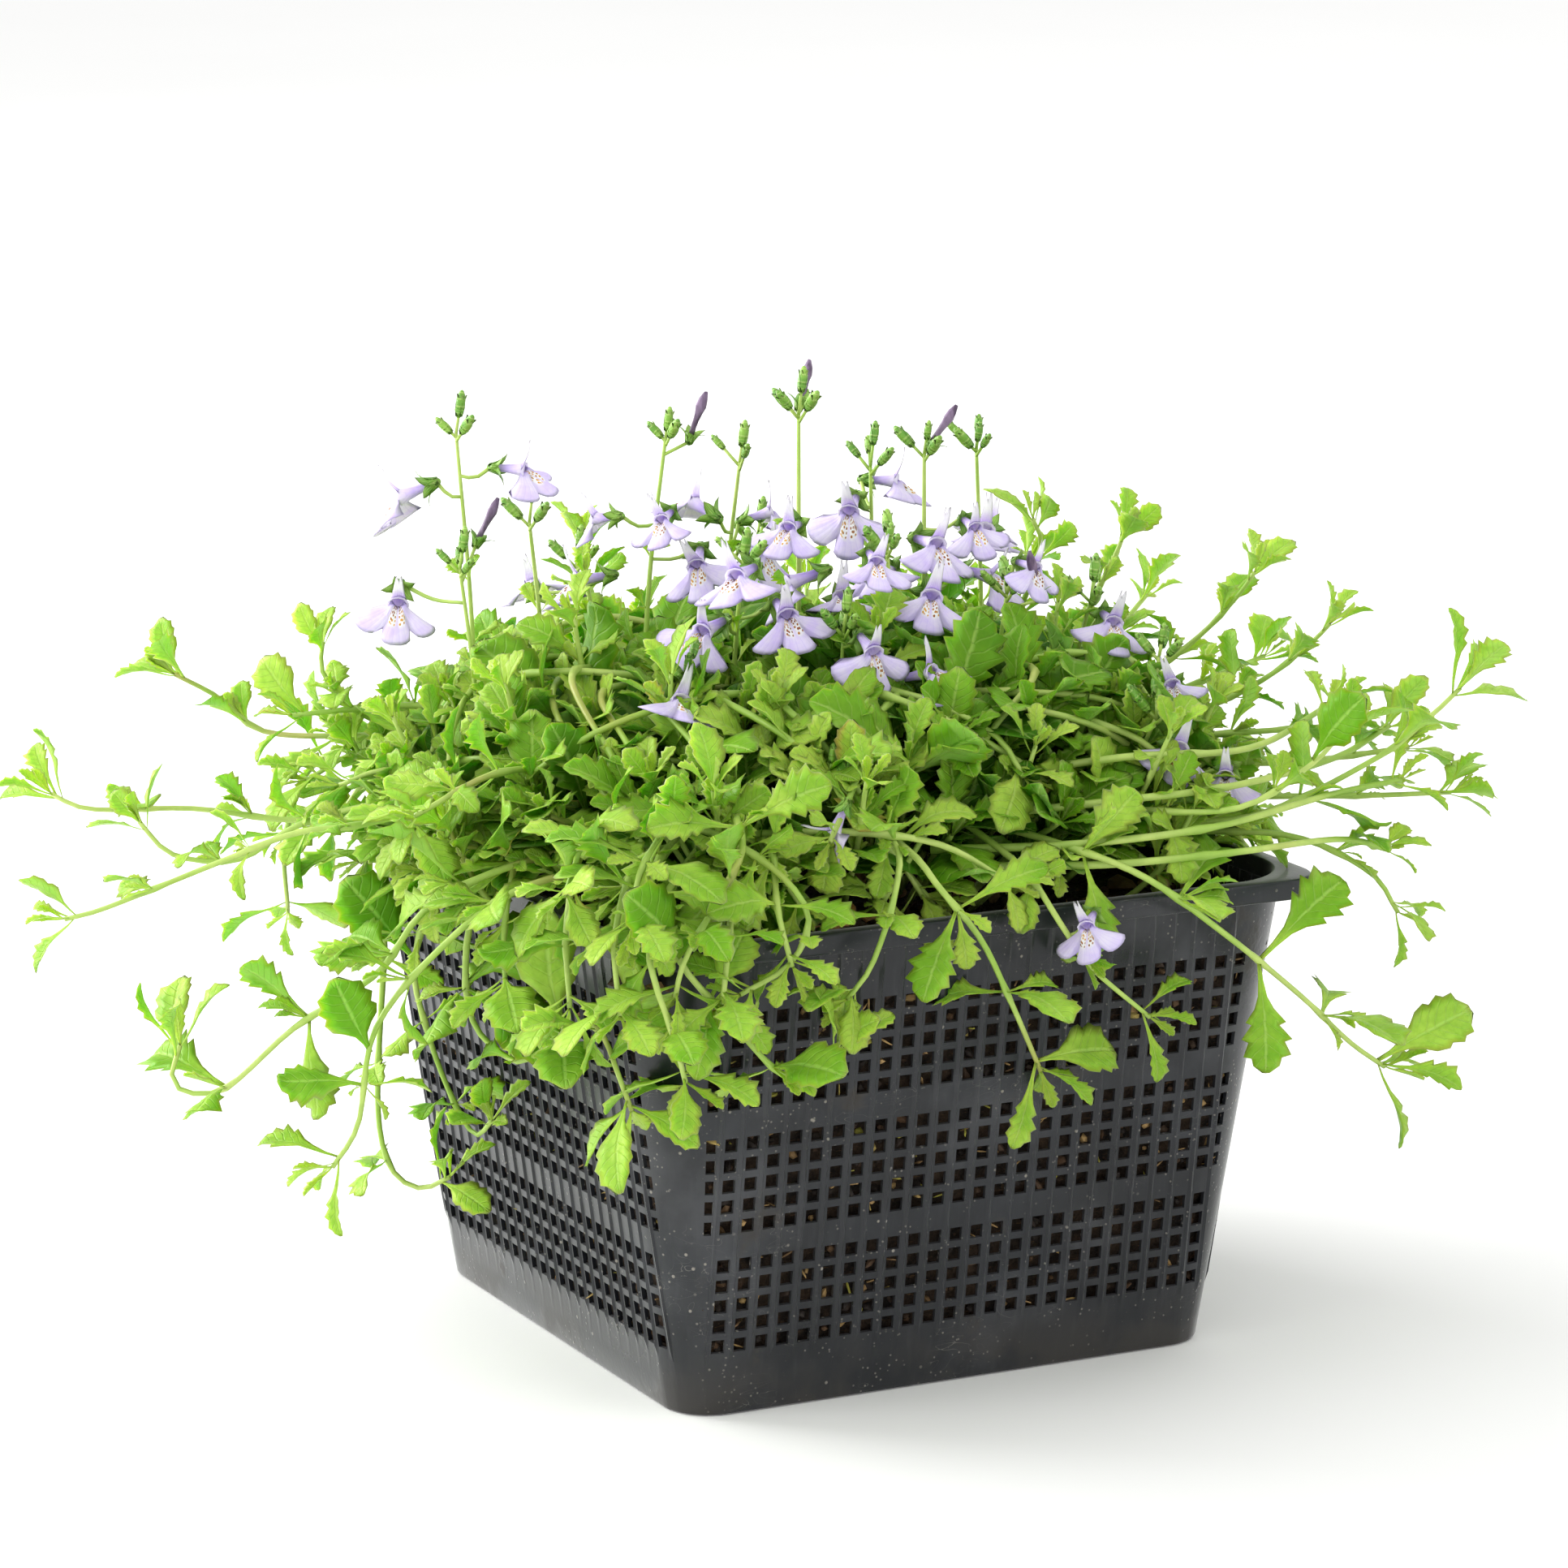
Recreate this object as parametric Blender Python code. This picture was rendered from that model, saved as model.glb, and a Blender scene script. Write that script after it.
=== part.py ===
# Potted mazus: a square mesh basket of soil with a creeping, flowering plant rooted in it.
# The model is built in metres, with +Z up and the basket's base centred on the origin.
# Routes and flower places in the tables below are in millimetres.
import math
import random

import bmesh
import bpy
from mathutils import Matrix, Vector, noise
from mathutils.bvhtree import BVHTree

MM = 0.001
SEED = 7

# basket
BASE_HALF = 0.0725
TOP_HALF = 0.0895
RIM_HALF = 0.0915
HEIGHT = 0.120
RIM_HEIGHT = 0.005
WALL = 0.0016
FLOOR = 0.0025
BASE_CORNER = 0.012
TOP_CORNER = 0.022
RIM_CORNER = 0.010
CORNER_STEPS = 5
EDGE = 0.001

# soil
SOIL_TOP = 0.108
SOIL_GAP = 0.0004
SOIL_ROUGHNESS = 0.0022
SOIL_SHOULDER = 0.004
SOIL_RING_SHARES = (0.97, 0.82, 0.62, 0.40, 0.20)

# leaf mound: its plan radius every 45 degrees, from +X round through +Y
MOUND_RADII = (0.100, 0.103, 0.100, 0.104, 0.108, 0.098, 0.078, 0.094)
MOUND_UNDER = 0.1225
MOUND_RISE = 0.042
MOUND_NECK = 0.070
MOUND_ROUGHNESS = 0.003
MOUND_SECTORS = 32
MOUND_LIP = 0.003
MOUND_RING_SHARES = (1.0, 0.97, 0.90, 0.78, 0.62, 0.44, 0.24)

# stems, leaves and flowers
STEM_RADIUS = 0.0011
STALK_RADIUS = 0.0009
SIDE_STEM_RADIUS = 0.0007
PATH_STEP = 0.011
STALK_STEP = 0.009
CLEARANCE = 0.0006
LEAF_WIDTH = 0.52
LEAF_THICK = 0.0012
LEAF_SPACING = 0.024
LEAF_SAG = 0.22
LEAF_PAIRS = 4
# a leaf's outline: share of its length, share of its half width
LEAF_OUTLINE = ((-0.02, 0.05), (0.38, 0.10), (0.72, 0.50), (1.0, 0.18))
FLOWER_LENGTH = 0.009
FLOWER_FOOT = 0.0011
FLOWER_MOUTH = 0.0030
FLOWER_SIDES = 5
LIP_SIZE = 0.0072
LIP_THICK = 0.0016
LIP_DROOP = 32
LIP_SIDES = 7
BUD_LENGTH = 0.006
BUD_FOOT = 0.0022
BUD_TIP = 0.0008
BUD_SIDES = 6

# trailing stems: route from inside the mound outwards, and the lengths of the leaf pairs
RUNNERS = {
    "runner_01": ([(-70, 0, 138), (-96, 26, 132), (-119, 48, 127), (-143, 60, 130),
                   (-169, 62, 132), (-178, 67, 136)], 17),
    "runner_02": ([(-80, 8, 138), (-108, 16, 137), (-128, 27, 131), (-141, 35, 122),
                   (-155, 43, 123), (-163, 46, 132)], 14),
    "runner_03": ([(-80, -16, 142), (-108, -20, 143), (-130, -14, 139), (-143, -7, 137),
                   (-159, 1, 130), (-183, 13, 119), (-192, 18, 116)], 14),
    "runner_04": ([(-75, -40, 135), (-106, -44, 132), (-124, -40, 123), (-134, -35, 108),
                   (-152, -27, 95), (-167, -19, 80), (-177, -13, 81), (-175, -13, 91)], 20),
    "runner_05": ([(-78, -58, 134), (-106, -56, 130), (-125, -54, 118), (-139, -46, 98),
                   (-143, -44, 75), (-148, -40, 64)], 17),
    "runner_06": ([(-80, 30, 132), (-102, 30, 124), (-108, 24, 92), (-112, 19, 60),
                   (-110, 16, 45), (-104, 12, 40), (-99, 5, 44)], 16),
    "runner_07": ([(-82, -10, 132), (-104, -8, 122), (-108, 4, 100), (-103, 8, 80),
                   (-97, 6, 62), (-95, -2, 56), (-95, -12, 62)], 15),
    "runner_08": ([(-82, -28, 130), (-104, -26, 120), (-104, -20, 92), (-97, -32, 82),
                   (-97, -64, 97), (-99, -84, 101), (-98, -92, 92), (-95, -92, 84)], 22),
    "runner_09": ([(-62, -62, 138), (-84, -88, 132), (-86, -99, 120), (-75, -101, 106),
                   (-60, -99, 90), (-50, -99, 89), (-45, -100, 97)], 16),
    "runner_10": ([(-24, -60, 140), (-25, -88, 139), (-30, -98, 130), (-37, -100, 114),
                   (-43, -99, 106)], 16),
    "runner_11": ([(-66, -60, 142), (-66, -86, 143), (-59, -99, 136), (-55, -103, 127),
                   (-60, -103, 117), (-72, -102, 111)], 15),
    "runner_12": ([(-26, -66, 142), (-22, -90, 137), (-19, -99, 130), (-9, -101, 117),
                   (0, -99, 101), (10, -96, 82)], 18),
    "runner_13": ([(4, -64, 138), (8, -90, 130), (13, -100, 118), (21, -100, 107),
                   (39, -97, 92)], 13),
    "runner_14": ([(10, -60, 136), (20, -84, 134), (36, -98, 127), (56, -102, 112),
                   (78, -102, 94), (92, -102, 81), (103, -102, 73)], 22),
    "runner_15": ([(30, -62, 138), (60, -95, 140), (80, -99, 149), (92, -97, 157)], 16),
    "runner_16": ([(50, -60, 132), (76, -80, 134), (103, -93, 148), (118, -95, 158),
                   (126, -95, 164)], 18),
    "runner_17": ([(70, -44, 132), (92, -62, 134), (112, -76, 135), (130, -86, 136)], 15),
    "runner_18": ([(66, -62, 128), (88, -80, 128), (103, -92, 120), (109, -96, 110)], 15),
    "runner_19": ([(-66, 44, 142), (-92, 58, 144), (-115, 80, 143), (-126, 86, 152),
                   (-136, 90, 158)], 17),
    "runner_20": ([(-60, 60, 138), (-84, 82, 138), (-96, 100, 128), (-100, 108, 108),
                   (-98, 112, 88)], 16),
    "runner_21": ([(10, 70, 140), (14, 96, 138), (22, 110, 124), (24, 113, 104),
                   (30, 114, 84), (40, 116, 76)], 17),
    "runner_22": ([(66, 40, 140), (92, 52, 138), (110, 58, 124), (114, 60, 102),
                   (118, 66, 84)], 17),
    "runner_23": ([(50, 70, 138), (70, 92, 138), (92, 108, 130), (112, 118, 118),
                   (128, 122, 112)], 17),
}

# short leafy shoots that stand up out of the mound
SHOOTS = {
    "shoot_01": ([(72, -12, 148), (92, -24, 166), (100, -32, 178), (103, -36, 185)], 15),
    "shoot_02": ([(78, -30, 146), (98, -44, 158), (110, -50, 168), (114, -54, 174)], 14),
    "shoot_03": ([(54, 14, 150), (60, 4, 176), (61, -2, 190), (58, -3, 197)], 13),
    "shoot_04": ([(70, 8, 148), (76, 0, 172), (80, -6, 186), (82, -7, 192)], 13),
    "shoot_05": ([(-78, 52, 140), (-102, 52, 152), (-110, 55, 162), (-110, 55, 170)], 13),
    "shoot_06": ([(-20, 66, 150), (-24, 78, 166), (-26, 84, 178), (-26, 84, 184)], 14),
}

# flower stalks: base and tip, then each flower's mouth, the way it faces and its tilt
STALKS = {
    "flower_stalk_01": ((-76, 38), (-80, 40, 222),
                        [(-93, 46, 206, 153, -20), (-65, 32, 213, -35, 5)]),
    "flower_stalk_02": ((-84, 18), (-88, 20, 192), [(-101, 28, 183, -150, -5)]),
    "flower_stalk_03": ((-53, 48), (-57, 48, 197), [(-51, 34, 184, -170, 0)]),
    "flower_stalk_04": ((-40, 18), (-34, 17, 221),
                        [(-50, 24, 201, 165, -5), (-42, 3, 203, -120, -5),
                         (-30, 8, 190, -80, 0)]),
    "flower_stalk_05": ((-6, 43), (-4, 37, 210),
                        [(-15, 42, 200, 160, 0), (7, 41, 196, -35, -5), (-2, 26, 188, -100, 0)]),
    "flower_stalk_06": ((-8, -4), (-6, 0, 227),
                        [(-14, -10, 201, -130, 5), (-16, -14, 188, -160, 0),
                         (-2, -16, 184, -70, -5)]),
    "flower_stalk_07": ((21, 12), (19, 10, 211),
                        [(10, 4, 201, -145, 0), (32, 20, 205, -45, 0), (14, -4, 188, -150, 0)]),
    "flower_stalk_08": ((30, 2), (32, 6, 214),
                        [(21, -22, 196, -112, 0), (38, -10, 197, -85, 0), (44, -8, 184, -50, -5)]),
    "flower_stalk_09": ((59, 25), (57, 25, 211), [(66, 34, 190, 30, 0), (54, 14, 192, -80, 0)]),
    "flower_stalk_10": ((34, -28), (36, -30, 184), [(38, -41, 192, -40, -25)]),
    "flower_stalk_11": ((58, -22), (62, -26, 180), [(64, -34, 175, -70, 0)]),
    "flower_stalk_12": ((66, -46), (70, -46, 168), [(68, -56, 163, -105, 0)]),
    "flower_stalk_13": ((54, -60), (58, -66, 158),
                        [(58, -77, 152, -135, 0), (68, -82, 145, -95, -10)]),
    "flower_stalk_14": ((-32, -16), (-31, -20, 196),
                        [(-38, -30, 194, -140, 0), (-26, -34, 184, -110, -5),
                         (-44, -24, 180, -170, -5)]),
    "flower_stalk_15": ((6, -28), (4, -28, 197),
                        [(-4, -38, 196, -130, 0), (12, -36, 186, -65, 0)]),
    "flower_stalk_16": ((-14, -38), (-14, -40, 180),
                        [(-12, -52, 177, -65, 0), (4, -52, 171, -60, -5)]),
    "flower_stalk_17": ((-48, -30), (-54, -36, 172), [(-59, -44, 168, -130, 0)]),
    "flower_stalk_18": ((-26, -56), (-34, -72, 153), [(-41, -88, 143, 175, -50)]),
    "flower_stalk_19": ((14, 60), (14, 64, 184), [(18, 76, 177, 75, 0)]),
    "flower_stalk_20": ((-32, 64), (-36, 66, 182), [(-44, 76, 176, 125, 0)]),
}

COLOURS = {
    "basket": ((0.055, 0.058, 0.062), 0.55),
    "soil": ((0.045, 0.030, 0.020), 0.95),
    "leaf_mound": ((0.16, 0.36, 0.06), 0.6),
    "runner": ((0.30, 0.52, 0.10), 0.55),
    "shoot": ((0.24, 0.48, 0.08), 0.55),
    "flower_stalk": ((0.52, 0.44, 0.85), 0.6),
}

placed = []


def clear_scene():
    for item in list(bpy.data.objects):
        bpy.data.objects.remove(item, do_unlink=True)


def make_material(name):
    kind = name.rstrip("0123456789").rstrip("_")
    colour, roughness = COLOURS[kind]
    found = bpy.data.materials.new(name)
    found.use_nodes = True
    shader = found.node_tree.nodes["Principled BSDF"]
    shader.inputs["Base Color"].default_value = (*colour, 1.0)
    shader.inputs["Roughness"].default_value = roughness
    shader.inputs["Metallic"].default_value = 0.0
    return found


def add_part(name, mesh):
    mesh.name = name
    part = bpy.data.objects.new(name, mesh)
    part.data.materials.clear()
    part.data.materials.append(make_material(name))
    bpy.data.collections["potted_mazus"].objects.link(part)
    tree = BVHTree.FromObject(part, bpy.context.evaluated_depsgraph_get())
    placed.append(tree)
    return part


def finish_mesh(bm, name):
    bmesh.ops.recalc_face_normals(bm, faces=bm.faces)
    mesh = bpy.data.meshes.new(name)
    bm.to_mesh(mesh)
    bm.free()
    return mesh


def rounded_square(half, corner, z, steps=CORNER_STEPS):
    points = []
    for quarter in range(4):
        turn = quarter * math.pi / 2
        middle = Vector((half - corner, half - corner, 0))
        for step in range(steps + 1):
            angle = step / steps * math.pi / 2
            point = middle + Vector((math.cos(angle), math.sin(angle), 0)) * corner
            points.append(Matrix.Rotation(turn, 3, "Z") @ point + Vector((0, 0, z)))
    return points


def loft(bm, rings):
    loops = [[bm.verts.new(point) for point in ring] for ring in rings]
    for lower, upper in zip(loops, loops[1:]):
        count = len(lower)
        for i in range(count):
            after = (i + 1) % count
            bm.faces.new((lower[i], lower[after], upper[after], upper[i]))
    return loops


def fan(bm, loop, centre):
    middle = bm.verts.new(centre)
    for i, vert in enumerate(loop):
        bm.faces.new((vert, loop[(i + 1) % len(loop)], middle))


def half_at(z):
    return BASE_HALF + (TOP_HALF - BASE_HALF) * z / HEIGHT


def corner_at(z):
    return BASE_CORNER + (TOP_CORNER - BASE_CORNER) * z / HEIGHT


def build_basket():
    # a tapered shell with a flat base, a band round the rim and squarer rim corners
    band = HEIGHT - RIM_HEIGHT
    inside = [(HEIGHT, TOP_HALF - WALL), (band, half_at(band) - WALL), (FLOOR, half_at(FLOOR) - WALL)]
    rings = [
        rounded_square(BASE_HALF - EDGE, BASE_CORNER - EDGE, 0),
        rounded_square(half_at(EDGE), corner_at(EDGE), EDGE),
        rounded_square(half_at(band), corner_at(band), band),
        rounded_square(RIM_HALF, RIM_CORNER, band),
        rounded_square(RIM_HALF, RIM_CORNER, HEIGHT - EDGE / 2),
        rounded_square(RIM_HALF - EDGE / 2, RIM_CORNER - EDGE / 2, HEIGHT),
    ]
    rings += [rounded_square(half, corner_at(z) - WALL, z) for z, half in inside]
    bm = bmesh.new()
    loops = loft(bm, rings)
    fan(bm, loops[0], (0, 0, 0))
    fan(bm, loops[-1], (0, 0, FLOOR))
    return add_part("basket", finish_mesh(bm, "basket"))


def soil_height(point):
    lump = noise.noise(point * 70) + 0.5 * noise.noise(point * 180)
    return SOIL_TOP + lump * SOIL_ROUGHNESS


def build_soil():
    # the root ball fills the basket, with a lumpy top below the rim
    shrink = WALL + SOIL_GAP
    low = FLOOR + SOIL_GAP
    shoulder = SOIL_TOP - SOIL_SHOULDER
    rings = [rounded_square(half_at(z) - shrink, corner_at(z) - shrink, z) for z in (low, shoulder)]
    for share in SOIL_RING_SHARES:
        ring = rounded_square((half_at(shoulder) - shrink) * share, corner_at(shoulder) * share, 0)
        for point in ring:
            point.z = soil_height(point)
        rings.append(ring)
    bm = bmesh.new()
    loops = loft(bm, rings)
    fan(bm, loops[0], (0, 0, low))
    fan(bm, loops[-1], (0, 0, SOIL_TOP))
    return add_part("soil", finish_mesh(bm, "soil"))


def mound_radius(angle):
    # eases between the eight plan radii
    place = (angle / (math.pi / 4)) % 8
    here = int(place)
    share = (1 - math.cos((place - here) * math.pi)) / 2
    return MOUND_RADII[here] * (1 - share) + MOUND_RADII[(here + 1) % 8] * share


def mound_top(x, y):
    reach = math.hypot(x, y) / mound_radius(math.atan2(y, x))
    if reach >= 1:
        return MOUND_UNDER
    return MOUND_UNDER + MOUND_LIP + MOUND_RISE * (1 - reach ** 2.4) ** 0.6


def build_mound():
    # one closed body for the dense crown of leaves, with a neck that sits on the soil
    neck_base = SOIL_TOP + 2.2 * SOIL_ROUGHNESS
    profile = [(MOUND_NECK, neck_base), (MOUND_NECK, MOUND_UNDER)]
    rings = []
    for reach, z in profile:
        rings.append([Vector((reach * math.cos(a), reach * math.sin(a), z)) for a in sector_angles()])
    for share in (0.97,) + MOUND_RING_SHARES:
        ring = []
        for angle in sector_angles():
            reach = mound_radius(angle) * share
            x = reach * math.cos(angle)
            y = reach * math.sin(angle)
            z = MOUND_UNDER if len(rings) == 2 else mound_top(x, y)
            z += MOUND_LIP if len(rings) == 3 else 0
            if len(rings) > 4:
                z += noise.noise(Vector((x, y, 0)) * 60) * MOUND_ROUGHNESS
            ring.append(Vector((x, y, z)))
        rings.append(ring)
    bm = bmesh.new()
    loops = loft(bm, rings)
    fan(bm, loops[0], (0, 0, neck_base))
    fan(bm, loops[-1], (0, 0, mound_top(0, 0)))
    return add_part("leaf_mound", finish_mesh(bm, "leaf_mound"))


def sector_angles():
    return [i * 2 * math.pi / MOUND_SECTORS for i in range(MOUND_SECTORS)]


def in_mound(point, margin=0.0045):
    reach = math.hypot(point.x, point.y)
    edge = mound_radius(math.atan2(point.y, point.x))
    if reach > edge + margin or point.z < MOUND_UNDER - margin:
        return False
    scale = max(0.0, 1 - margin / 2 / max(reach, margin))
    return point.z < mound_top(point.x * scale, point.y * scale) + margin


def smooth_path(points, step=PATH_STEP):
    # a Catmull-Rom curve through the route's points, cut into even steps
    knots = [points[0] * 2 - points[1]] + points + [points[-1] * 2 - points[-2]]
    fine = []
    for a, b, c, d in zip(knots, knots[1:], knots[2:], knots[3:]):
        for i in range(12):
            t = i / 12
            fine.append(0.5 * (2 * b + (c - a) * t + (2 * a - 5 * b + 4 * c - d) * t * t
                               + (3 * b - a - 3 * c + d) * t ** 3))
    fine.append(points[-1])
    path = [fine[0]]
    for point in fine:
        if (point - path[-1]).length >= step:
            path.append(point)
    if (fine[-1] - path[-1]).length > step / 3:
        path.append(fine[-1])
    return path


def leave_mound(path):
    # a stem starts where it comes out of the mound
    clear = 0
    for i, point in enumerate(path):
        if in_mound(point):
            clear = i + 1
    return path[clear:]


def tube_mesh(path, radius):
    curve = bpy.data.curves.new("stem", "CURVE")
    curve.dimensions = "3D"
    curve.bevel_depth = radius
    curve.bevel_resolution = 1
    curve.use_fill_caps = True
    spline = curve.splines.new("POLY")
    spline.points.add(len(path) - 1)
    for point, place in zip(spline.points, path):
        point.co = (*place, 1)
    stem = bpy.data.objects.new("stem", curve)
    bpy.context.scene.collection.objects.link(stem)
    graph = bpy.context.evaluated_depsgraph_get()
    mesh = bpy.data.meshes.new_from_object(stem.evaluated_get(graph))
    bpy.data.objects.remove(stem, do_unlink=True)
    bm = bmesh.new()
    bm.from_mesh(mesh)
    bmesh.ops.remove_doubles(bm, verts=bm.verts, dist=0.00001)
    bmesh.ops.recalc_face_normals(bm, faces=bm.faces)
    bpy.data.meshes.remove(mesh)
    return bm


def aim(direction, lift):
    # a frame whose +X runs along direction and whose +Z leans towards lift
    forward = direction.normalized()
    side = lift.cross(forward)
    if side.length < 0.05:
        side = Vector((0, 1, 0)).cross(forward)
    side.normalize()
    upper = forward.cross(side)
    frame = Matrix.Identity(4)
    for row in range(3):
        frame[row][0] = forward[row]
        frame[row][1] = side[row]
        frame[row][2] = upper[row]
    return frame


def leaf_solid(base, direction, length):
    # a spoon-shaped plate with a narrow foot, arched along its length
    bm = bmesh.new()
    half_width = length * LEAF_WIDTH / 2
    thick = LEAF_THICK / 2
    rows = []
    for along, across in LEAF_OUTLINE:
        sag = -LEAF_SAG * length * along * along
        wide = across * 2 * half_width
        row = []
        for side, level in ((1, 1), (-1, 1), (-1, -1), (1, -1)):
            row.append(bm.verts.new((along * length, side * wide, sag + level * thick)))
        rows.append(row)
    for lower, upper in zip(rows, rows[1:]):
        for i in range(4):
            after = (i + 1) % 4
            bm.faces.new((lower[i], lower[after], upper[after], upper[i]))
    bm.faces.new(reversed(rows[0]))
    bm.faces.new(rows[-1])
    frame = Matrix.Translation(base) @ aim(direction, Vector((0, 0, 1)))
    bmesh.ops.transform(bm, matrix=frame, verts=bm.verts)
    bmesh.ops.recalc_face_normals(bm, faces=bm.faces)
    return bm


def flower_solid(mouth, heading, tilt):
    # a flared tube with a broad lower lip, closed into one plain body
    bm = bmesh.new()
    bmesh.ops.create_cone(bm, cap_ends=True, segments=FLOWER_SIDES, radius1=FLOWER_FOOT,
                          radius2=FLOWER_MOUTH, depth=FLOWER_LENGTH,
                          matrix=Matrix.Translation((0, 0, -FLOWER_LENGTH / 2)))
    lip = bmesh.new()
    bmesh.ops.create_cone(lip, cap_ends=True, segments=LIP_SIDES, radius1=LIP_SIZE, radius2=LIP_SIZE,
                          depth=LIP_THICK, matrix=Matrix.Rotation(math.radians(LIP_DROOP), 4, "Y"))
    bmesh.ops.translate(lip, vec=(-LIP_SIZE * 0.55, 0, 0.0006), verts=lip.verts)
    # the tube's mouth looks along its own +Z, and -X is its lower side
    turn = Matrix.Rotation(math.radians(heading), 4, "Z")
    turn = turn @ Matrix.Rotation(math.radians(90 - tilt), 4, "Y")
    frame = Matrix.Translation(mouth) @ turn @ Matrix.Rotation(math.pi, 4, "Z")
    for shape in (bm, lip):
        bmesh.ops.transform(shape, matrix=frame, verts=shape.verts)
    base = frame @ Vector((0, 0, -FLOWER_LENGTH * 0.9))
    return [bm, lip], base


def has_room(shape):
    # True when the shape keeps its clearance from every part already in place
    grown = shape.copy()
    grown.normal_update()
    for vert in grown.verts:
        vert.co += vert.normal * CLEARANCE
    tree = BVHTree.FromBMesh(grown)
    inside = any(in_mound(vert.co, 0.0005) for vert in grown.verts)
    free = not inside and not any(tree.overlap(other) for other in placed)
    grown.free()
    return free


def joined(name, stem, shapes):
    # the stem and everything that grows on it become one closed body
    base_mesh = bpy.data.meshes.new(name)
    stem.to_mesh(base_mesh)
    body = bpy.data.objects.new(name + "_stem", base_mesh)
    together = bmesh.new()
    for shape in shapes:
        loose = bpy.data.meshes.new("loose")
        shape.to_mesh(loose)
        together.from_mesh(loose)
        bpy.data.meshes.remove(loose)
    grown_mesh = bpy.data.meshes.new(name + "_grown")
    together.to_mesh(grown_mesh)
    grown = bpy.data.objects.new(name + "_grown", grown_mesh)
    for item in (body, grown):
        bpy.data.collections["shapes"].objects.link(item)
    union = body.modifiers.new("join", "BOOLEAN")
    union.operation = "UNION"
    union.object = grown
    union.use_self = True
    graph = bpy.context.evaluated_depsgraph_get()
    mesh = bpy.data.meshes.new_from_object(body.evaluated_get(graph))
    for item in (body, grown):
        bpy.data.objects.remove(item, do_unlink=True)
    result = bmesh.new()
    result.from_mesh(mesh)
    bmesh.ops.remove_doubles(result, verts=result.verts, dist=0.000002)
    bmesh.ops.dissolve_degenerate(result, edges=result.edges, dist=0.000002)
    return add_part(name, finish_mesh(result, name))


def build_stem(name, route, leaf_length):
    # pairs of leaves sit along the stem, each pair turned from the last, with a tuft at the tip
    dice = random.Random(name + str(SEED))
    path = leave_mound(smooth_path([Vector(point) * MM for point in route]))
    stem = tube_mesh(path, STEM_RADIUS)
    shapes = []
    gap = max(1, round(LEAF_SPACING / PATH_STEP))
    spots = list(range(len(path) - 1, 1, -gap))[:LEAF_PAIRS]
    for count, spot in enumerate(spots):
        along = (path[spot] - path[spot - 1]).normalized()
        side = along.cross(Vector((0, 0, 1)))
        side = side.normalized() if side.length > 0.1 else Vector((1, 0, 0))
        turns = (20, 200) if count else (0, 120, 240)
        for turn in turns:
            for extra in (0, 40, -40, 90):
                angle = math.radians(turn + extra + dice.uniform(-15, 15))
                out = Matrix.Rotation(angle, 3, along) @ side
                size = leaf_length * MM * dice.uniform(0.85, 1.05) * (1.0 if count else 0.8)
                leaf = leaf_solid(path[spot] - along * 0.0005, out + along * 0.6, size)
                if has_room(leaf):
                    shapes.append(leaf)
                    break
    return joined(name, stem, shapes)


def build_stalk(name, base, tip, flowers):
    # an upright stalk with a bud at its tip and open flowers on short side stems
    root = Vector((base[0] * MM, base[1] * MM, mound_top(base[0] * MM, base[1] * MM)))
    top = Vector(tip) * MM
    bend = (root + top) / 2 + Vector((root.x - top.x, root.y - top.y, 0)) * 0.2
    path = leave_mound(smooth_path([root, bend, top], STALK_STEP))
    stem = tube_mesh(path, STALK_RADIUS)
    shapes = []
    bud = bmesh.new()
    bmesh.ops.create_cone(bud, cap_ends=True, segments=BUD_SIDES, radius1=BUD_FOOT, radius2=BUD_TIP,
                          depth=BUD_LENGTH, matrix=Matrix.Translation(top + Vector((0, 0, BUD_LENGTH / 6))))
    shapes.append(bud)
    for x, y, z, heading, tilt in flowers:
        mouth = Vector((x, y, z)) * MM
        parts, foot = flower_solid(mouth, heading, tilt)
        near = min(path, key=lambda point: (point - foot).length + abs(point.z - foot.z + 0.004))
        side_stem = tube_mesh([near, (near + foot) / 2 + Vector((0, 0, 0.0015)), foot],
                              SIDE_STEM_RADIUS)
        if all(has_room(shape) for shape in parts + [side_stem]):
            shapes += parts + [side_stem]
        else:
            print("no room for a flower on", name)
    return joined(name, stem, shapes)


def main():
    clear_scene()
    for title in ("potted_mazus", "shapes"):
        bpy.context.scene.collection.children.link(bpy.data.collections.new(title))
    build_basket()
    build_soil()
    build_mound()
    for name, (base, tip, flowers) in STALKS.items():
        build_stalk(name, base, tip, flowers)
    for name, (route, leaf_length) in {**SHOOTS, **RUNNERS}.items():
        build_stem(name, route, leaf_length)


main()
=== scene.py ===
import math
import random

import bmesh
import bpy
import numpy as np
from mathutils import Matrix, Vector, noise


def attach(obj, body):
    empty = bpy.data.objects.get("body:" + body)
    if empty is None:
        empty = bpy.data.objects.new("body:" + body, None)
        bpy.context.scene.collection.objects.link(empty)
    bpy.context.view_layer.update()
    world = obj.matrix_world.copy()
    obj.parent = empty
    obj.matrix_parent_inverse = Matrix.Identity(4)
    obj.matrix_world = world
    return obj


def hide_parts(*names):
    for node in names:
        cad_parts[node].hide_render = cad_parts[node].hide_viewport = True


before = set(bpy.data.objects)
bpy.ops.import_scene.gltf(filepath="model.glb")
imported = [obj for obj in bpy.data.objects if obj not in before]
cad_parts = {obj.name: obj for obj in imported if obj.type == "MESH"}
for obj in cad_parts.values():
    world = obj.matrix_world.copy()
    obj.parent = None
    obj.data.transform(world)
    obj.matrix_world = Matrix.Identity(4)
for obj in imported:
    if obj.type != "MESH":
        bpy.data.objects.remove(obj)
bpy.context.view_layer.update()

mm = 0.001
upward = Vector((0, 0, 1))
goldenAngle = math.radians(137.508)


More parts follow.
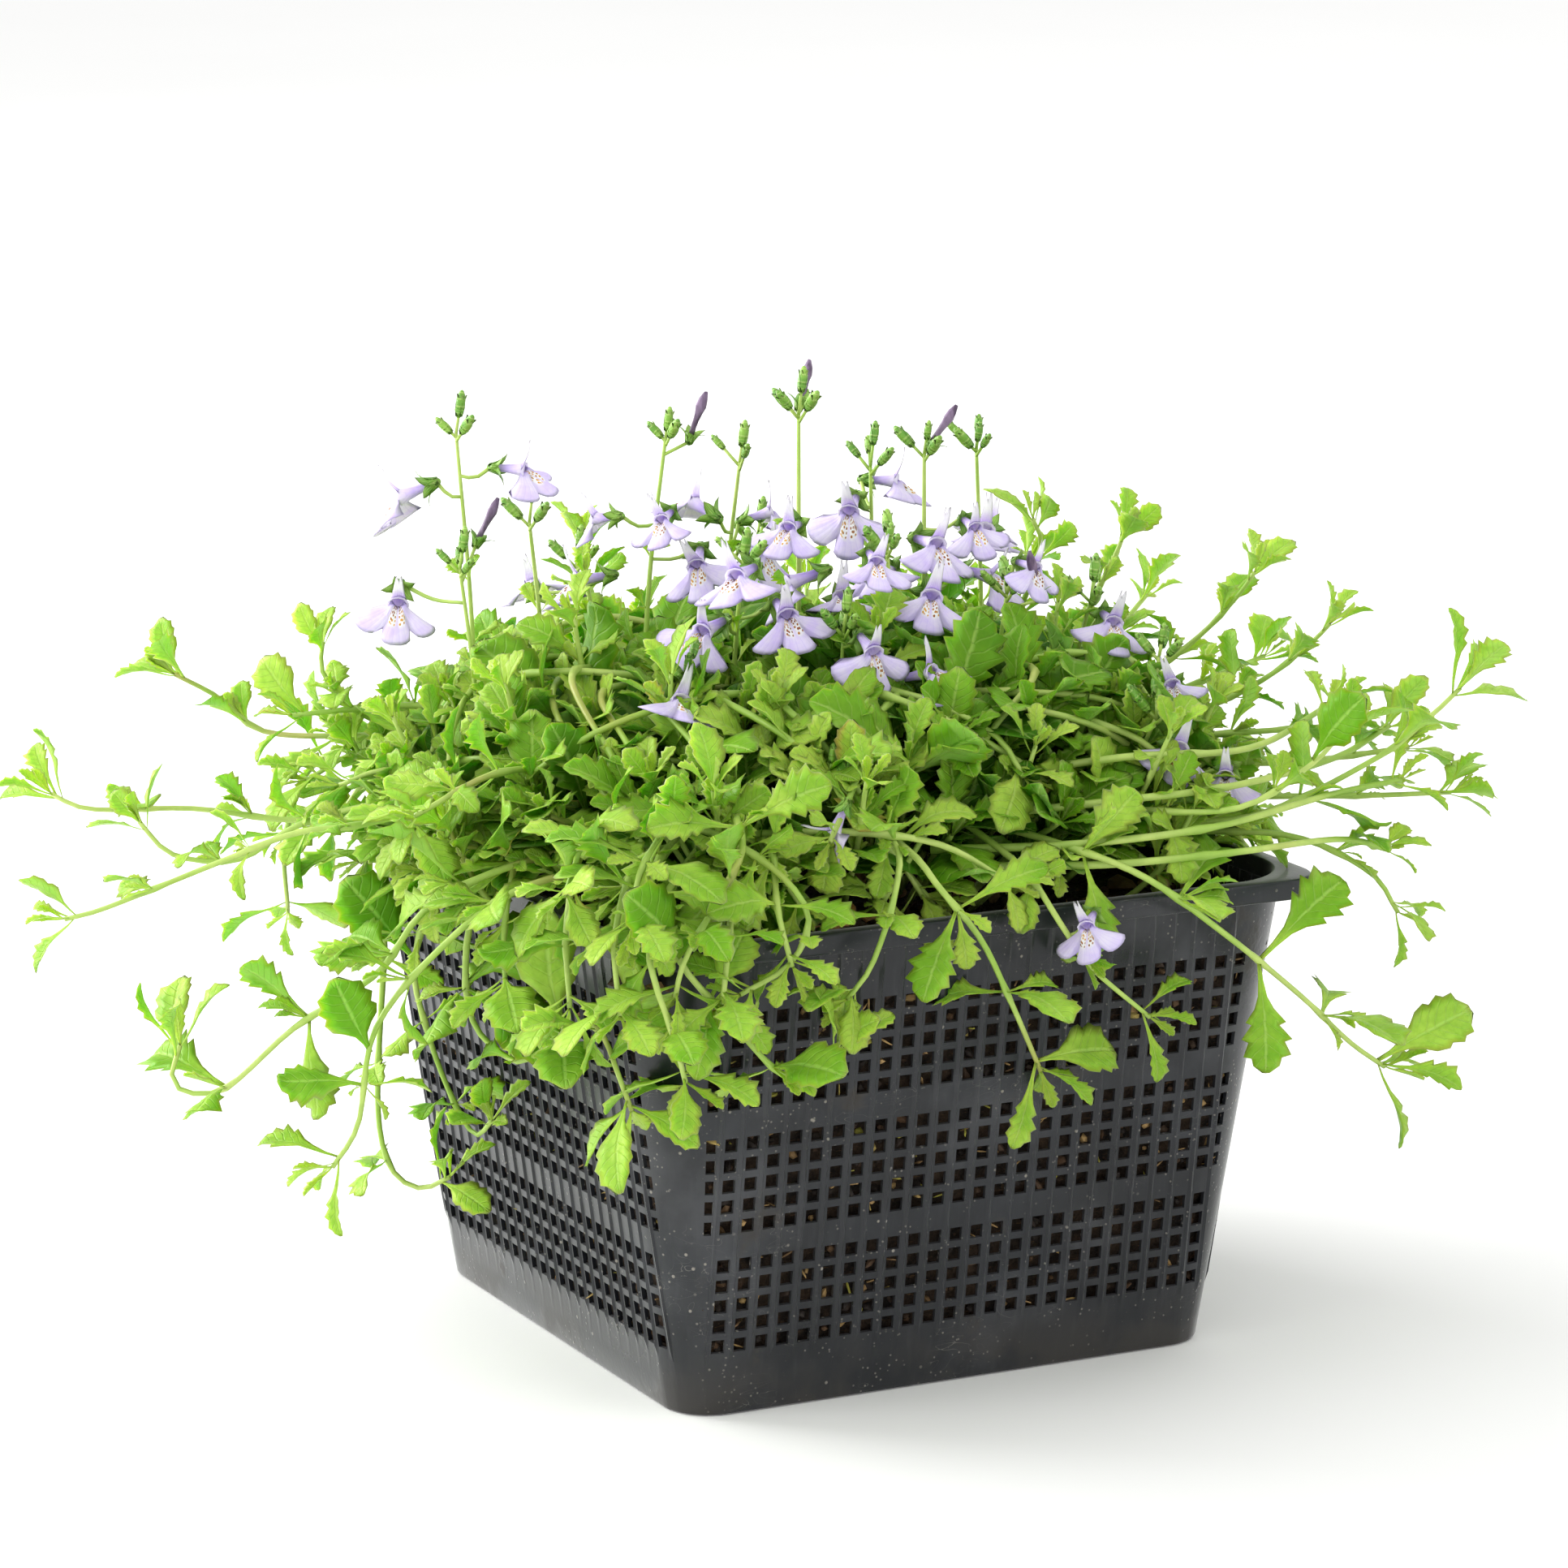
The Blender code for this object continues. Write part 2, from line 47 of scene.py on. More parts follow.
def dropSelection():
    # the CAD nodes and new primitives are left selected, so every step starts with nothing picked
    if bpy.context.object and bpy.context.object.mode != "OBJECT":
        bpy.ops.object.mode_set(mode="OBJECT")
    bpy.ops.object.select_all(action="DESELECT")


def makeActive(piece):
    dropSelection()
    piece.select_set(True)
    bpy.context.view_layer.objects.active = piece


def openEdit():
    # edit mode with the whole piece selected
    bpy.ops.object.mode_set(mode="EDIT")
    bpy.ops.mesh.select_all(action="SELECT")


def closeEdit():
    # turns every face outwards and leaves edit mode
    bpy.ops.mesh.select_all(action="SELECT")
    bpy.ops.mesh.normals_make_consistent(inside=False)
    bpy.ops.object.mode_set(mode="OBJECT")


def pushOut(step):
    bpy.ops.mesh.extrude_region_move(TRANSFORM_OT_translate={"value": step})


def scaleAbout(share, centre):
    bpy.ops.transform.resize(value=share, center_override=centre)


def pickParts(piece, kind, test):
    # in edit mode: selects the vertices, edges or faces that pass the test
    bpy.ops.mesh.select_mode(type=kind)
    bpy.ops.mesh.select_all(action="DESELECT")
    shape = bmesh.from_edit_mesh(piece.data)
    parts = {"VERT": shape.verts, "EDGE": shape.edges, "FACE": shape.faces}[kind]
    for item in parts:
        item.select_set(bool(test(item)))
    shape.select_flush_mode()
    bmesh.update_edit_mesh(piece.data)


def applyModifier(piece, kind, **settings):
    makeActive(piece)
    modifier = piece.modifiers.new(kind.title(), kind)
    for key, value in settings.items():
        setattr(modifier, key, value)
    bpy.ops.object.modifier_apply(modifier=modifier.name)


def joinPieces(name, pieces):
    makeActive(pieces[0])
    for piece in pieces[1:]:
        piece.select_set(True)
    if len(pieces) > 1:
        bpy.ops.object.join()
    joined = bpy.context.object
    joined.name = name
    joined.data.name = name
    return joined


def coat(piece, finish, smoothAngle=None):
    # one material all over, smooth up to an angle in degrees or throughout
    piece.data.materials.clear()
    piece.data.materials.append(materials[finish])
    makeActive(piece)
    if smoothAngle is None:
        bpy.ops.object.shade_smooth()
    else:
        bpy.ops.object.shade_smooth_by_angle(angle=math.radians(smoothAngle))
    return piece


def settle(piece, slotName, *nodes):
    # every finished piece rides on the pot, and may stand for CAD nodes
    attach(piece, "root")
    if nodes:
        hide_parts(*nodes)


def addGrid(name, across, along):
    # a flat grid with its corner at the origin and steps one unit apart
    dropSelection()
    bpy.ops.mesh.primitive_grid_add(x_subdivisions=across - 1, y_subdivisions=along - 1, size=2)
    piece = bpy.context.object
    piece.name = name
    for vert in piece.data.vertices:
        vert.co.x = round((vert.co.x + 1) / 2 * (across - 1))
        vert.co.y = round((vert.co.y + 1) / 2 * (along - 1))
    return piece


def addNode(tree, kind, inputs=None, **settings):
    made = tree.nodes.new("ShaderNode" + kind)
    for key, value in settings.items():
        setattr(made, key, value)
    for key, value in (inputs or {}).items():
        if isinstance(value, bpy.types.NodeSocket):
            tree.links.new(value, made.inputs[key])
        else:
            made.inputs[key].default_value = value
    return made


def calc(tree, operation, first, second=0.0, third=None):
    inputs = {0: first, 1: second}
    if third is not None:
        inputs[2] = third
    return addNode(tree, "Math", inputs, operation=operation).outputs[0]


def times(tree, first, second):
    return calc(tree, "MULTIPLY", first, second)


def plus(tree, first, second):
    return calc(tree, "ADD", first, second)


def ease(tree, value, low, high, start=0.0, end=1.0):
    inputs = {"Value": value, "From Min": low, "From Max": high, "To Min": start, "To Max": end}
    made = addNode(tree, "MapRange", inputs, interpolation_type="SMOOTHSTEP")
    return made.outputs[0]


def blend(tree, factor, first, second, kind="MIX"):
    made = addNode(tree, "Mix", {0: factor, 6: first, 7: second}, data_type="RGBA", blend_type=kind)
    return made.outputs[2]


def speckle(tree, place, scale, detail=3.0, rough=0.55):
    inputs = {"Vector": place, "Scale": scale, "Detail": detail, "Roughness": rough}
    return addNode(tree, "TexNoise", inputs).outputs["Fac"]


def tint(hexCode):
    # a screen colour such as 8CC63F as the linear numbers that a shader takes
    parts = [int(hexCode[i:i + 2], 16) / 255 for i in (0, 2, 4)]
    return tuple(c / 12.92 if c <= 0.04045 else ((c + 0.055) / 1.055) ** 2.4 for c in parts) + (1.0,)


def startMaterial(name, roughness, **fixed):
    material = bpy.data.materials.new(name)
    material.use_nodes = True
    tree = material.node_tree
    sockets = tree.nodes["Principled BSDF"].inputs
    sockets["Roughness"].default_value = roughness
    for key, value in fixed.items():
        sockets[key.replace("_", " ")].default_value = value
    return material, tree


def wireUp(material, colour, rough, height, strength, distance):
    tree = material.node_tree
    bump = addNode(tree, "Bump", {"Height": height, "Strength": strength, "Distance": distance})
    for source, name in ((colour, "Base Color"), (rough, "Roughness"), (bump.outputs["Normal"], "Normal")):
        tree.links.new(source, tree.nodes["Principled BSDF"].inputs[name])
    return material


def objectPlace(tree, stretch=(1, 1, 1)):
    place = addNode(tree, "TexCoord").outputs["Object"]
    return addNode(tree, "Mapping", {"Vector": place, "Scale": stretch}).outputs[0]


def readMap(tree):
    # the blade's own map: the place, then how far along it and across it
    place = addNode(tree, "UVMap", uv_map="leafMap").outputs[0]
    split = addNode(tree, "SeparateXYZ", {0: place})
    return place, split.outputs[0], split.outputs[1]


def fromMidline(tree, across):
    # 0 on the blade's midline and 1 at its edges
    return calc(tree, "ABSOLUTE", calc(tree, "MULTIPLY_ADD", across, 2.0, -1.0))


def readAttribute(tree, name):
    return addNode(tree, "Attribute", attribute_name=name).outputs["Fac"]


# the camera, the lights and the floor
view = {
    "azimuth": -26.5, "elevation": 12.0, "distance": 1.46, "lens": 135.3,
    "aim": Vector((-0.010, 0.0, 0.135)),
}

stage = {
    "floorHalf": 9.0, "floorColour": tint("F7F7F6"), "skyStrength": 1.0,
    "keyPlace": (-1.85, -0.10, 1.25), "keySize": 1.3, "keyPower": 15.0,
    "fillPlace": (1.5, -1.2, 1.0), "fillSize": 1.6, "fillPower": 4.0,
    "rimPlace": (-1.25, 1.65, 0.80), "rimSize": 1.4, "rimPower": 58.0,
}


def setCamera():
    swing = math.radians(view["azimuth"])
    rise = math.radians(view["elevation"])
    back = Vector((math.sin(swing) * math.cos(rise), -math.cos(swing) * math.cos(rise), math.sin(rise)))
    lens = bpy.data.cameras.new("camera")
    lens.lens = view["lens"]
    lens.sensor_width = 36.0
    camera = bpy.data.objects.new("camera", lens)
    bpy.context.scene.collection.objects.link(camera)
    camera.location = view["aim"] + back * view["distance"]
    camera.rotation_euler = back.to_track_quat("Z", "Y").to_euler()
    bpy.context.scene.camera = camera


def addLamp(name, place, size, power):
    lamp = bpy.data.lights.new(name, "AREA")
    lamp.size = size
    lamp.energy = power
    holder = bpy.data.objects.new(name, lamp)
    bpy.context.scene.collection.objects.link(holder)
    holder.location = place
    away = Vector(place) - Vector((0, 0, 0.1))
    holder.rotation_euler = away.to_track_quat("Z", "Y").to_euler()


def setStage():
    dropSelection()
    bpy.ops.mesh.primitive_plane_add(size=stage["floorHalf"] * 2)
    floor = bpy.context.object
    floor.name = "floor"
    material, tree = startMaterial("paleFloor", 0.8)
    cloud = speckle(tree, objectPlace(tree), 1.5)
    pale = blend(tree, cloud, stage["floorColour"], tint("FDFDFC"))
    tree.links.new(pale, tree.nodes["Principled BSDF"].inputs["Base Color"])
    floor.data.materials.append(material)
    world = bpy.data.worlds.new("studio")
    world.use_nodes = True
    world.node_tree.nodes["Background"].inputs["Color"].default_value = (1, 1, 1, 1)
    world.node_tree.nodes["Background"].inputs["Strength"].default_value = stage["skyStrength"]
    bpy.context.scene.world = world
    for lamp in ("key", "fill", "rim"):
        addLamp(lamp + "Light", stage[lamp + "Place"], stage[lamp + "Size"], stage[lamp + "Power"])
    bpy.context.scene.view_settings.view_transform = "Standard"


def makeGreenVariation():
    # shared by leaves, stems and sepals: slow patches, fine mottling and a height for both
    group = bpy.data.node_groups.new("greenVariation", "ShaderNodeTree")
    for name, kind in (("Vector", "NodeSocketVector"), ("Patch Scale", "NodeSocketFloat")):
        group.interface.new_socket(name=name, in_out="INPUT", socket_type=kind)
    for name in ("Patches", "Mottle", "Height"):
        group.interface.new_socket(name=name, in_out="OUTPUT", socket_type="NodeSocketFloat")
    entry = group.nodes.new("NodeGroupInput")
    leave = group.nodes.new("NodeGroupOutput")
    patches = speckle(group, entry.outputs["Vector"], entry.outputs["Patch Scale"], 2.0)
    mottle = speckle(group, entry.outputs["Vector"], times(group, entry.outputs["Patch Scale"], 9.0), 3.0)
    height = calc(group, "MULTIPLY_ADD", mottle, 0.6, times(group, patches, 0.4))
    group.links.new(ease(group, patches, 0.32, 0.68), leave.inputs["Patches"])
    group.links.new(ease(group, mottle, 0.35, 0.65), leave.inputs["Mottle"])
    group.links.new(height, leave.inputs["Height"])
    return group


def addVariation(tree, group, patchScale):
    place = addNode(tree, "TexCoord").outputs["Object"]
    made = addNode(tree, "Group", node_tree=group)
    tree.links.new(place, made.inputs["Vector"])
    made.inputs["Patch Scale"].default_value = patchScale
    return made.outputs


def makeLeafMaterial(group):
    material, tree = startMaterial("leafGreen", 0.42, Specular_IOR_Level=0.1, Subsurface_Weight=0.45,
                                   Subsurface_Radius=(0.5, 1.0, 0.15), Subsurface_Scale=0.0012)
    soft = addVariation(tree, group, 55.0)
    _, along, across = readMap(tree)
    fromRib = fromMidline(tree, across)
    midrib = ease(tree, fromRib, 0.02, 0.12, 1.0, 0.0)
    sweep = calc(tree, "SUBTRACT", times(tree, along, 8.0), times(tree, fromRib, 1.7))
    wave = calc(tree, "PINGPONG", sweep, 0.5)
    sideVein = times(tree, ease(tree, wave, 0.0, 0.13, 1.0, 0.0), ease(tree, along, 0.25, 0.4))
    sideVein = times(tree, sideVein, ease(tree, fromRib, 0.7, 0.95, 1.0, 0.0))
    tone = plus(tree, readAttribute(tree, "tone"), calc(tree, "MULTIPLY_ADD", soft["Patches"], 0.24, -0.12))
    tone = plus(tree, tone, ease(tree, along, 0.0, 0.45, 0.22, 0.0))
    deep = blend(tree, ease(tree, tone, 0.0, 0.5), tint("3F7012"), tint("70A022"))
    fresh = blend(tree, ease(tree, tone, 0.5, 1.0), deep, tint("ABCC4E"))
    fresh = blend(tree, times(tree, soft["Mottle"], 0.22), fresh, tint("51861A"))
    veins = calc(tree, "MAXIMUM", times(tree, midrib, 0.36), times(tree, sideVein, 0.16))
    green = blend(tree, veins, fresh, tint("C3E27A"))
    under = times(tree, readAttribute(tree, "under"), 0.45)
    green = blend(tree, under, green, tint("AFD370"))
    dry = ease(tree, readAttribute(tree, "tone"), 2.0, 2.2)
    old = times(tree, ease(tree, readAttribute(tree, "tone"), 1.5, 1.6), ease(tree, fromRib, 0.3, 0.9))
    green = blend(tree, times(tree, old, 0.8), green, tint("A89245"))
    green = blend(tree, dry, green, blend(tree, soft["Patches"], tint("8A6034"), tint("C2A05C")))
    rough = calc(tree, "MULTIPLY_ADD", soft["Mottle"], 0.16, 0.36)
    height = calc(tree, "MULTIPLY_ADD", midrib, -0.9, times(tree, sideVein, -0.7))
    height = plus(tree, height, times(tree, soft["Height"], 0.8))
    return wireUp(material, green, rough, height, 0.55, 0.0006)


def makeStemMaterial(group):
    material, tree = startMaterial("stemGreen", 0.46)
    soft = addVariation(tree, group, 28.0)
    green = blend(tree, soft["Patches"], tint("9CC24A"), tint("C3D873"))
    ruddy = ease(tree, speckle(tree, objectPlace(tree), 19.0, 2.0), 0.6, 0.72)
    green = blend(tree, times(tree, ruddy, 0.5), green, tint("AC8A50"))
    green = blend(tree, times(tree, soft["Mottle"], 0.2), green, tint("6F9E34"))
    return wireUp(material, green, calc(tree, "MULTIPLY_ADD", soft["Mottle"], 0.15, 0.38),
                  soft["Height"], 0.35, 0.0004)


def makeSepalMaterial(group):
    material, tree = startMaterial("sepalGreen", 0.45)
    soft = addVariation(tree, group, 160.0)
    _, along, across = readMap(tree)
    ribs = calc(tree, "PINGPONG", times(tree, across, 5.0), 0.5)
    ribMask = ease(tree, ribs, 0.05, 0.2, 1.0, 0.0)
    green = blend(tree, soft["Patches"], tint("5F9A2C"), tint("93C24A"))
    green = blend(tree, times(tree, ribMask, 0.5), green, tint("C2DC7E"))
    green = blend(tree, ease(tree, along, 0.75, 1.0, 0.0, 0.35), green, tint("7A6A3A"))
    return wireUp(material, green, calc(tree, "MULTIPLY_ADD", soft["Mottle"], 0.15, 0.38),
                  plus(tree, ribMask, soft["Height"]), 0.4, 0.0003)


def makeLipMaterial():
    # a lilac fan with two white patches at the throat, each with orange-brown spots
    material, tree = startMaterial("lowerLip", 0.5, Specular_IOR_Level=0.2, Subsurface_Weight=0.35,
                                   Subsurface_Radius=(1.0, 0.9, 1.0), Subsurface_Scale=0.001)
    place, along, across = readMap(tree)
    fromMiddle = fromMidline(tree, across)
    cloud = speckle(tree, objectPlace(tree), 220.0, 3.0)
    lilac = blend(tree, ease(tree, cloud, 0.3, 0.7), tint("D6C2FF"), tint("E8DCFF"))
    lilac = blend(tree, ease(tree, along, 0.6, 1.0, 0.0, 0.35), lilac, tint("C0A9F4"))
    rays = calc(tree, "PINGPONG", times(tree, across, 17.0), 0.5)
    lilac = blend(tree, ease(tree, rays, 0.0, 0.14, 0.18, 0.0), lilac, tint("A896EC"))
    throat = ease(tree, along, 0.0, 0.22, 0.5, 0.0)
    lilac = blend(tree, throat, lilac, tint("A98DF2"))
    fromPatch = calc(tree, "ABSOLUTE", calc(tree, "SUBTRACT", fromMiddle, 0.19))
    reach = ease(tree, along, 0.50, 0.64, 1.0, 0.0)
    patch = times(tree, ease(tree, fromPatch, 0.11, 0.18, 1.0, 0.0), reach)
    colour = blend(tree, patch, lilac, tint("FBF8FC"))
    stretched = addNode(tree, "Mapping", {"Vector": place, "Scale": (10.0, 22.0, 1.0)}).outputs[0]
    cells = addNode(tree, "TexVoronoi", {"Vector": stretched, "Scale": 1.0, "Randomness": 0.6},
                    voronoi_dimensions="2D")
    spots = ease(tree, cells.outputs["Distance"], 0.27, 0.39, 1.0, 0.0)
    spots = times(tree, spots, ease(tree, patch, 0.5, 0.9))
    spotColour = blend(tree, ease(tree, cloud, 0.4, 0.6), tint("D99A2E"), tint("8E4A1E"))
    colour = blend(tree, spots, colour, spotColour)
    return wireUp(material, colour, ease(tree, cloud, 0.3, 0.7, 0.42, 0.58),
                  plus(tree, rays, cloud), 0.3, 0.0003)


def makeHoodMaterial():
    # the tube and upper lip: violet low down, nearly white towards the tip
    material, tree = startMaterial("upperLip", 0.5, Specular_IOR_Level=0.2, Subsurface_Weight=0.35,
                                   Subsurface_Radius=(1.0, 0.9, 1.0), Subsurface_Scale=0.001)
    _, along, across = readMap(tree)
    cloud = speckle(tree, objectPlace(tree), 260.0, 3.0)
    violet = blend(tree, ease(tree, cloud, 0.3, 0.7), tint("BD9FF6"), tint("D9C6FC"))
    rays = calc(tree, "PINGPONG", times(tree, across, 7.0), 0.5)
    violet = blend(tree, ease(tree, rays, 0.0, 0.2, 0.3, 0.0), violet, tint("9A7DE6"))
    colour = blend(tree, ease(tree, along, 0.18, 0.62), violet, tint("F6F0FF"))
    return wireUp(material, colour, ease(tree, cloud, 0.3, 0.7, 0.42, 0.58),
                  plus(tree, rays, cloud), 0.3, 0.0003)


def makeWiltedMaterial():
    material, tree = startMaterial("wiltedPetal", 0.55)
    place = objectPlace(tree, (1, 1, 0.3))
    cloud = speckle(tree, place, 420.0, 4.0)
    colour = blend(tree, ease(tree, cloud, 0.3, 0.7), tint("45324C"), tint("8E7896"))
    return wireUp(material, colour, ease(tree, cloud, 0.3, 0.7, 0.45, 0.65), cloud, 0.8, 0.0006)


def makePlasticMaterial():
    # charcoal moulded plastic with dust, scuffs, specks of grit and a dirty foot
    material, tree = startMaterial("basketPlastic", 0.4, Specular_IOR_Level=0.42, Sheen_Weight=0.6,
                                   Sheen_Roughness=0.3)
    place = objectPlace(tree)
    height = addNode(tree, "SeparateXYZ", {0: place}).outputs[2]
    cloud = speckle(tree, place, 38.0, 4.0)
    fine = speckle(tree, place, 900.0, 2.0)
    base = blend(tree, ease(tree, cloud, 0.35, 0.7), tint("16181C"), tint("212429"))
    streaks = speckle(tree, objectPlace(tree, (1, 1, 0.06)), 520.0, 2.0)
    base = blend(tree, ease(tree, streaks, 0.5, 0.8, 0.0, 0.3), base, tint("343538"))
    film = times(tree, ease(tree, speckle(tree, place, 24.0, 6.0), 0.5, 0.75), 0.28)
    base = blend(tree, film, base, tint("65666A"))
    cells = addNode(tree, "TexVoronoi", {"Vector": place, "Scale": 260.0})
    specks = times(tree, ease(tree, cells.outputs["Distance"], 0.07, 0.14, 1.0, 0.0),
                  ease(tree, speckle(tree, place, 60.0, 2.0), 0.52, 0.6))
    dustCells = addNode(tree, "TexVoronoi", {"Vector": place, "Scale": 620.0})
    dust = times(tree, ease(tree, dustCells.outputs["Distance"], 0.10, 0.22, 0.6, 0.0),
                ease(tree, speckle(tree, place, 90.0, 2.0), 0.46, 0.6))
    specks = calc(tree, "MAXIMUM", specks, dust)
    base = blend(tree, times(tree, specks, 0.42), base, tint("C9C2B4"))
    scratchPlace = objectPlace(tree, (1, 1, 3.0))
    scratch = addNode(tree, "TexNoise", {"Vector": scratchPlace, "Scale": 75.0, "Detail": 0.0,
                                                    "Distortion": 2.5}).outputs["Fac"]
    line = ease(tree, calc(tree, "ABSOLUTE", calc(tree, "SUBTRACT", scratch, 0.5)), 0.0, 0.006, 1.0, 0.0)
    line = times(tree, line, ease(tree, speckle(tree, place, 45.0, 1.0), 0.55, 0.65, 0.0, 0.4))
    base = blend(tree, line, base, tint("8A8780"))
    soiled = times(tree, ease(tree, height, 0.0, 0.022, 1.0, 0.0), ease(tree, cloud, 0.42, 0.6))
    soiled = calc(tree, "MAXIMUM", times(tree, soiled, 0.6),
                  times(tree, ease(tree, speckle(tree, place, 42.0, 5.0), 0.62, 0.72), 0.75))
    base = blend(tree, soiled, base, tint("35302A"))
    rough = calc(tree, "MULTIPLY_ADD", cloud, 0.22, 0.20)
    rough = calc(tree, "MAXIMUM", rough, times(tree, calc(tree, "MAXIMUM", soiled, specks), 0.85))
    bumps = plus(tree, times(tree, fine, 0.15), times(tree, soiled, 0.8))
    return wireUp(material, base, rough, plus(tree, bumps, specks), 0.4, 0.0004)


def makeSoilMaterial():
    material, tree = startMaterial("pottingSoil", 0.9)
    place = objectPlace(tree)
    clods = speckle(tree, place, 160.0, 6.0, 0.7)
    grit = addNode(tree, "TexVoronoi", {"Vector": place, "Scale": 420.0})
    base = blend(tree, ease(tree, clods, 0.35, 0.7), tint("15100B"), tint("4A3826"))
    fibre = speckle(tree, objectPlace(tree, (1, 1, 6.0)), 300.0, 3.0)
    base = blend(tree, ease(tree, fibre, 0.62, 0.72, 0.0, 0.6), base, tint("7A5C38"))
    base = blend(tree, ease(tree, grit.outputs["Distance"], 0.1, 0.2, 0.5, 0.0), base, tint("5C4630"))
    return wireUp(material, base, ease(tree, clods, 0.3, 0.7, 0.98, 0.75),
                  plus(tree, clods, grit.outputs["Distance"]), 1.0, 0.0015)


def makeBitsMaterial():
    # bark crumbs, straw and moss, each coloured by its own tone
    material, tree = startMaterial("soilBits", 0.85)
    tone = readAttribute(tree, "tone")
    place = objectPlace(tree)
    grain = speckle(tree, place, 700.0, 4.0)
    dark = blend(tree, ease(tree, tone, 0.0, 0.55), tint("17100B"), tint("5E452D"))
    mid = blend(tree, ease(tree, tone, 0.55, 0.8), dark, tint("C9A46B"))
    light = blend(tree, ease(tree, tone, 0.86, 0.97), mid, tint("B3AE45"))
    light = blend(tree, times(tree, grain, 0.5), light, tint("2A1D12"))
    return wireUp(material, light, ease(tree, grain, 0.3, 0.7, 0.95, 0.7), grain, 0.8, 0.0006)


setCamera()
setStage()
greenVariation = makeGreenVariation()
materials = {
    "leaf": makeLeafMaterial(greenVariation),
    "stem": makeStemMaterial(greenVariation),
    "sepal": makeSepalMaterial(greenVariation),
    "lip": makeLipMaterial(),
    "hood": makeHoodMaterial(),
    "wilted": makeWiltedMaterial(),
    "plastic": makePlasticMaterial(),
    "soil": makeSoilMaterial(),
    "bits": makeBitsMaterial(),
}
plantFinishes = ("leaf", "stem", "sepal", "lip", "hood", "wilted")
print("stage and materials are ready")


# the basket
basket = {
    "height": 0.120, "baseHalf": 0.0725, "topHalf": 0.0895, "baseCorner": 0.012, "topCorner": 0.022,
    "wall": 0.0016, "meshWall": 0.0010,
    "rimHalf": 0.0915, "rimCorner": 0.010, "rimHeight": 0.005, "rimEdge": 0.0007,
    "columns": 26, "pitch": 0.00563, "holeWide": 0.0032, "holeTall": 0.0034, "rows": 5,
    "bands": ((0.0181, 0.0387), (0.0486, 0.0694), (0.0799, 0.1004)), "lowColumns": 24,
    "ribRise": 0.0005, "ribHalf": 0.0007, "ribLow": 0.0155, "ribHigh": 0.1110, "sideHalf": 0.082,
    "wallSmooth": 28, "rimSmooth": 40, "floorSmooth": 32, "floorTop": 0.0024, "floorInset": 0.0012,
}


def halfAt(z):
    return basket["baseHalf"] + (basket["topHalf"] - basket["baseHalf"]) * z / basket["height"]


def cornerAt(z):
    return basket["baseCorner"] + (basket["topCorner"] - basket["baseCorner"]) * z / basket["height"]


def wallPoint(across, z, out=0.0):
    # from the distance along the front wall to a point on it, round into its corner
    flat = halfAt(z) - cornerAt(z)
    end = flat + cornerAt(z) * math.pi / 4
    kept = basket["lowColumns"] / 2 * basket["pitch"]
    nominal = basket["sideHalf"]
    reach = abs(across)
    if reach > kept:
        reach = kept + (reach - kept) * (end - kept) / (nominal - kept)
    if reach <= flat:
        return Vector((math.copysign(reach, across), -halfAt(z) - out, z))
    angle = min((reach - flat) / cornerAt(z), math.pi / 4)
    x = flat + (cornerAt(z) + out) * math.sin(angle)
    return Vector((math.copysign(x, across), -flat - (cornerAt(z) + out) * math.cos(angle), z))


def holeRows():
    rows = []
    for low, high in basket["bands"]:
        step = (high - low) / (basket["rows"] - 1)
        rows += [low + step * i for i in range(basket["rows"])]
    return rows


def columnPlaces():
    return [(i - (basket["columns"] - 1) / 2) * basket["pitch"] for i in range(basket["columns"])]


def columnLines():
    # (distance, how much of the rib's rise, whether a hole starts here)
    wide = basket["holeWide"] / 2
    places = columnPlaces()
    ends = [basket["sideHalf"] - step for step in (0, 0.0025, 0.005, 0.0075)]
    lines = [(-end, 0, False) for end in ends]
    for i, middle in enumerate(places):
        lines += [(middle - wide, 0, True), (middle + wide, 0, False)]
        if i < len(places) - 1:
            between = middle + basket["pitch"] / 2
            lines += [(between - basket["ribHalf"], 0, False), (between, 1, False),
                      (between + basket["ribHalf"], 0, False)]
    return lines + [(end, 0, False) for end in reversed(ends)]


def rowLines():
    # (height, how far inside the wall's line, whether a hole starts here)
    tall = basket["holeTall"] / 2
    lines = [(0.0, 0.0010, False), (0.0004, 0.0003, False)]
    lines += [(height, 0, False) for height in (0.0012, 0.007, 0.0135)]
    for count, middle in enumerate(holeRows()):
        lines += [(middle - tall, 0, True), (middle + tall, 0, False)]
        if count % basket["rows"] == basket["rows"] - 1 and count < 14:
            lines.append((middle + tall + 0.0032, 0, False))
    return lines + [(0.1040, 0, False), (0.1075, 0, False), (0.1110, 0, False), (0.1152, 0, False)]


def makeWallSide():
    columns = columnLines()
    rows = rowLines()
    side = addGrid("wallSide", len(columns), len(rows))
    makeActive(side)
    bpy.ops.object.mode_set(mode="EDIT")

    def isHole(face):
        middle = face.calc_center_median()
        column, row = int(middle.x), int(middle.y)
        inLow = row < 16 and abs(columns[column][0]) > basket["lowColumns"] / 2 * basket["pitch"]
        return columns[column][2] and rows[row][2] and not inLow

    pickParts(side, "FACE", isHole)
    bpy.ops.mesh.delete(type="FACE")
    bpy.ops.object.mode_set(mode="OBJECT")
    for vert in side.data.vertices:
        across, rib, _ = columns[round(vert.co.x)]
        z, inset, _ = rows[round(vert.co.y)]
        ribbed = rib if basket["ribLow"] <= z <= basket["ribHigh"] else 0
        vert.co = wallPoint(across, z, basket["ribRise"] * ribbed - inset)
    return side


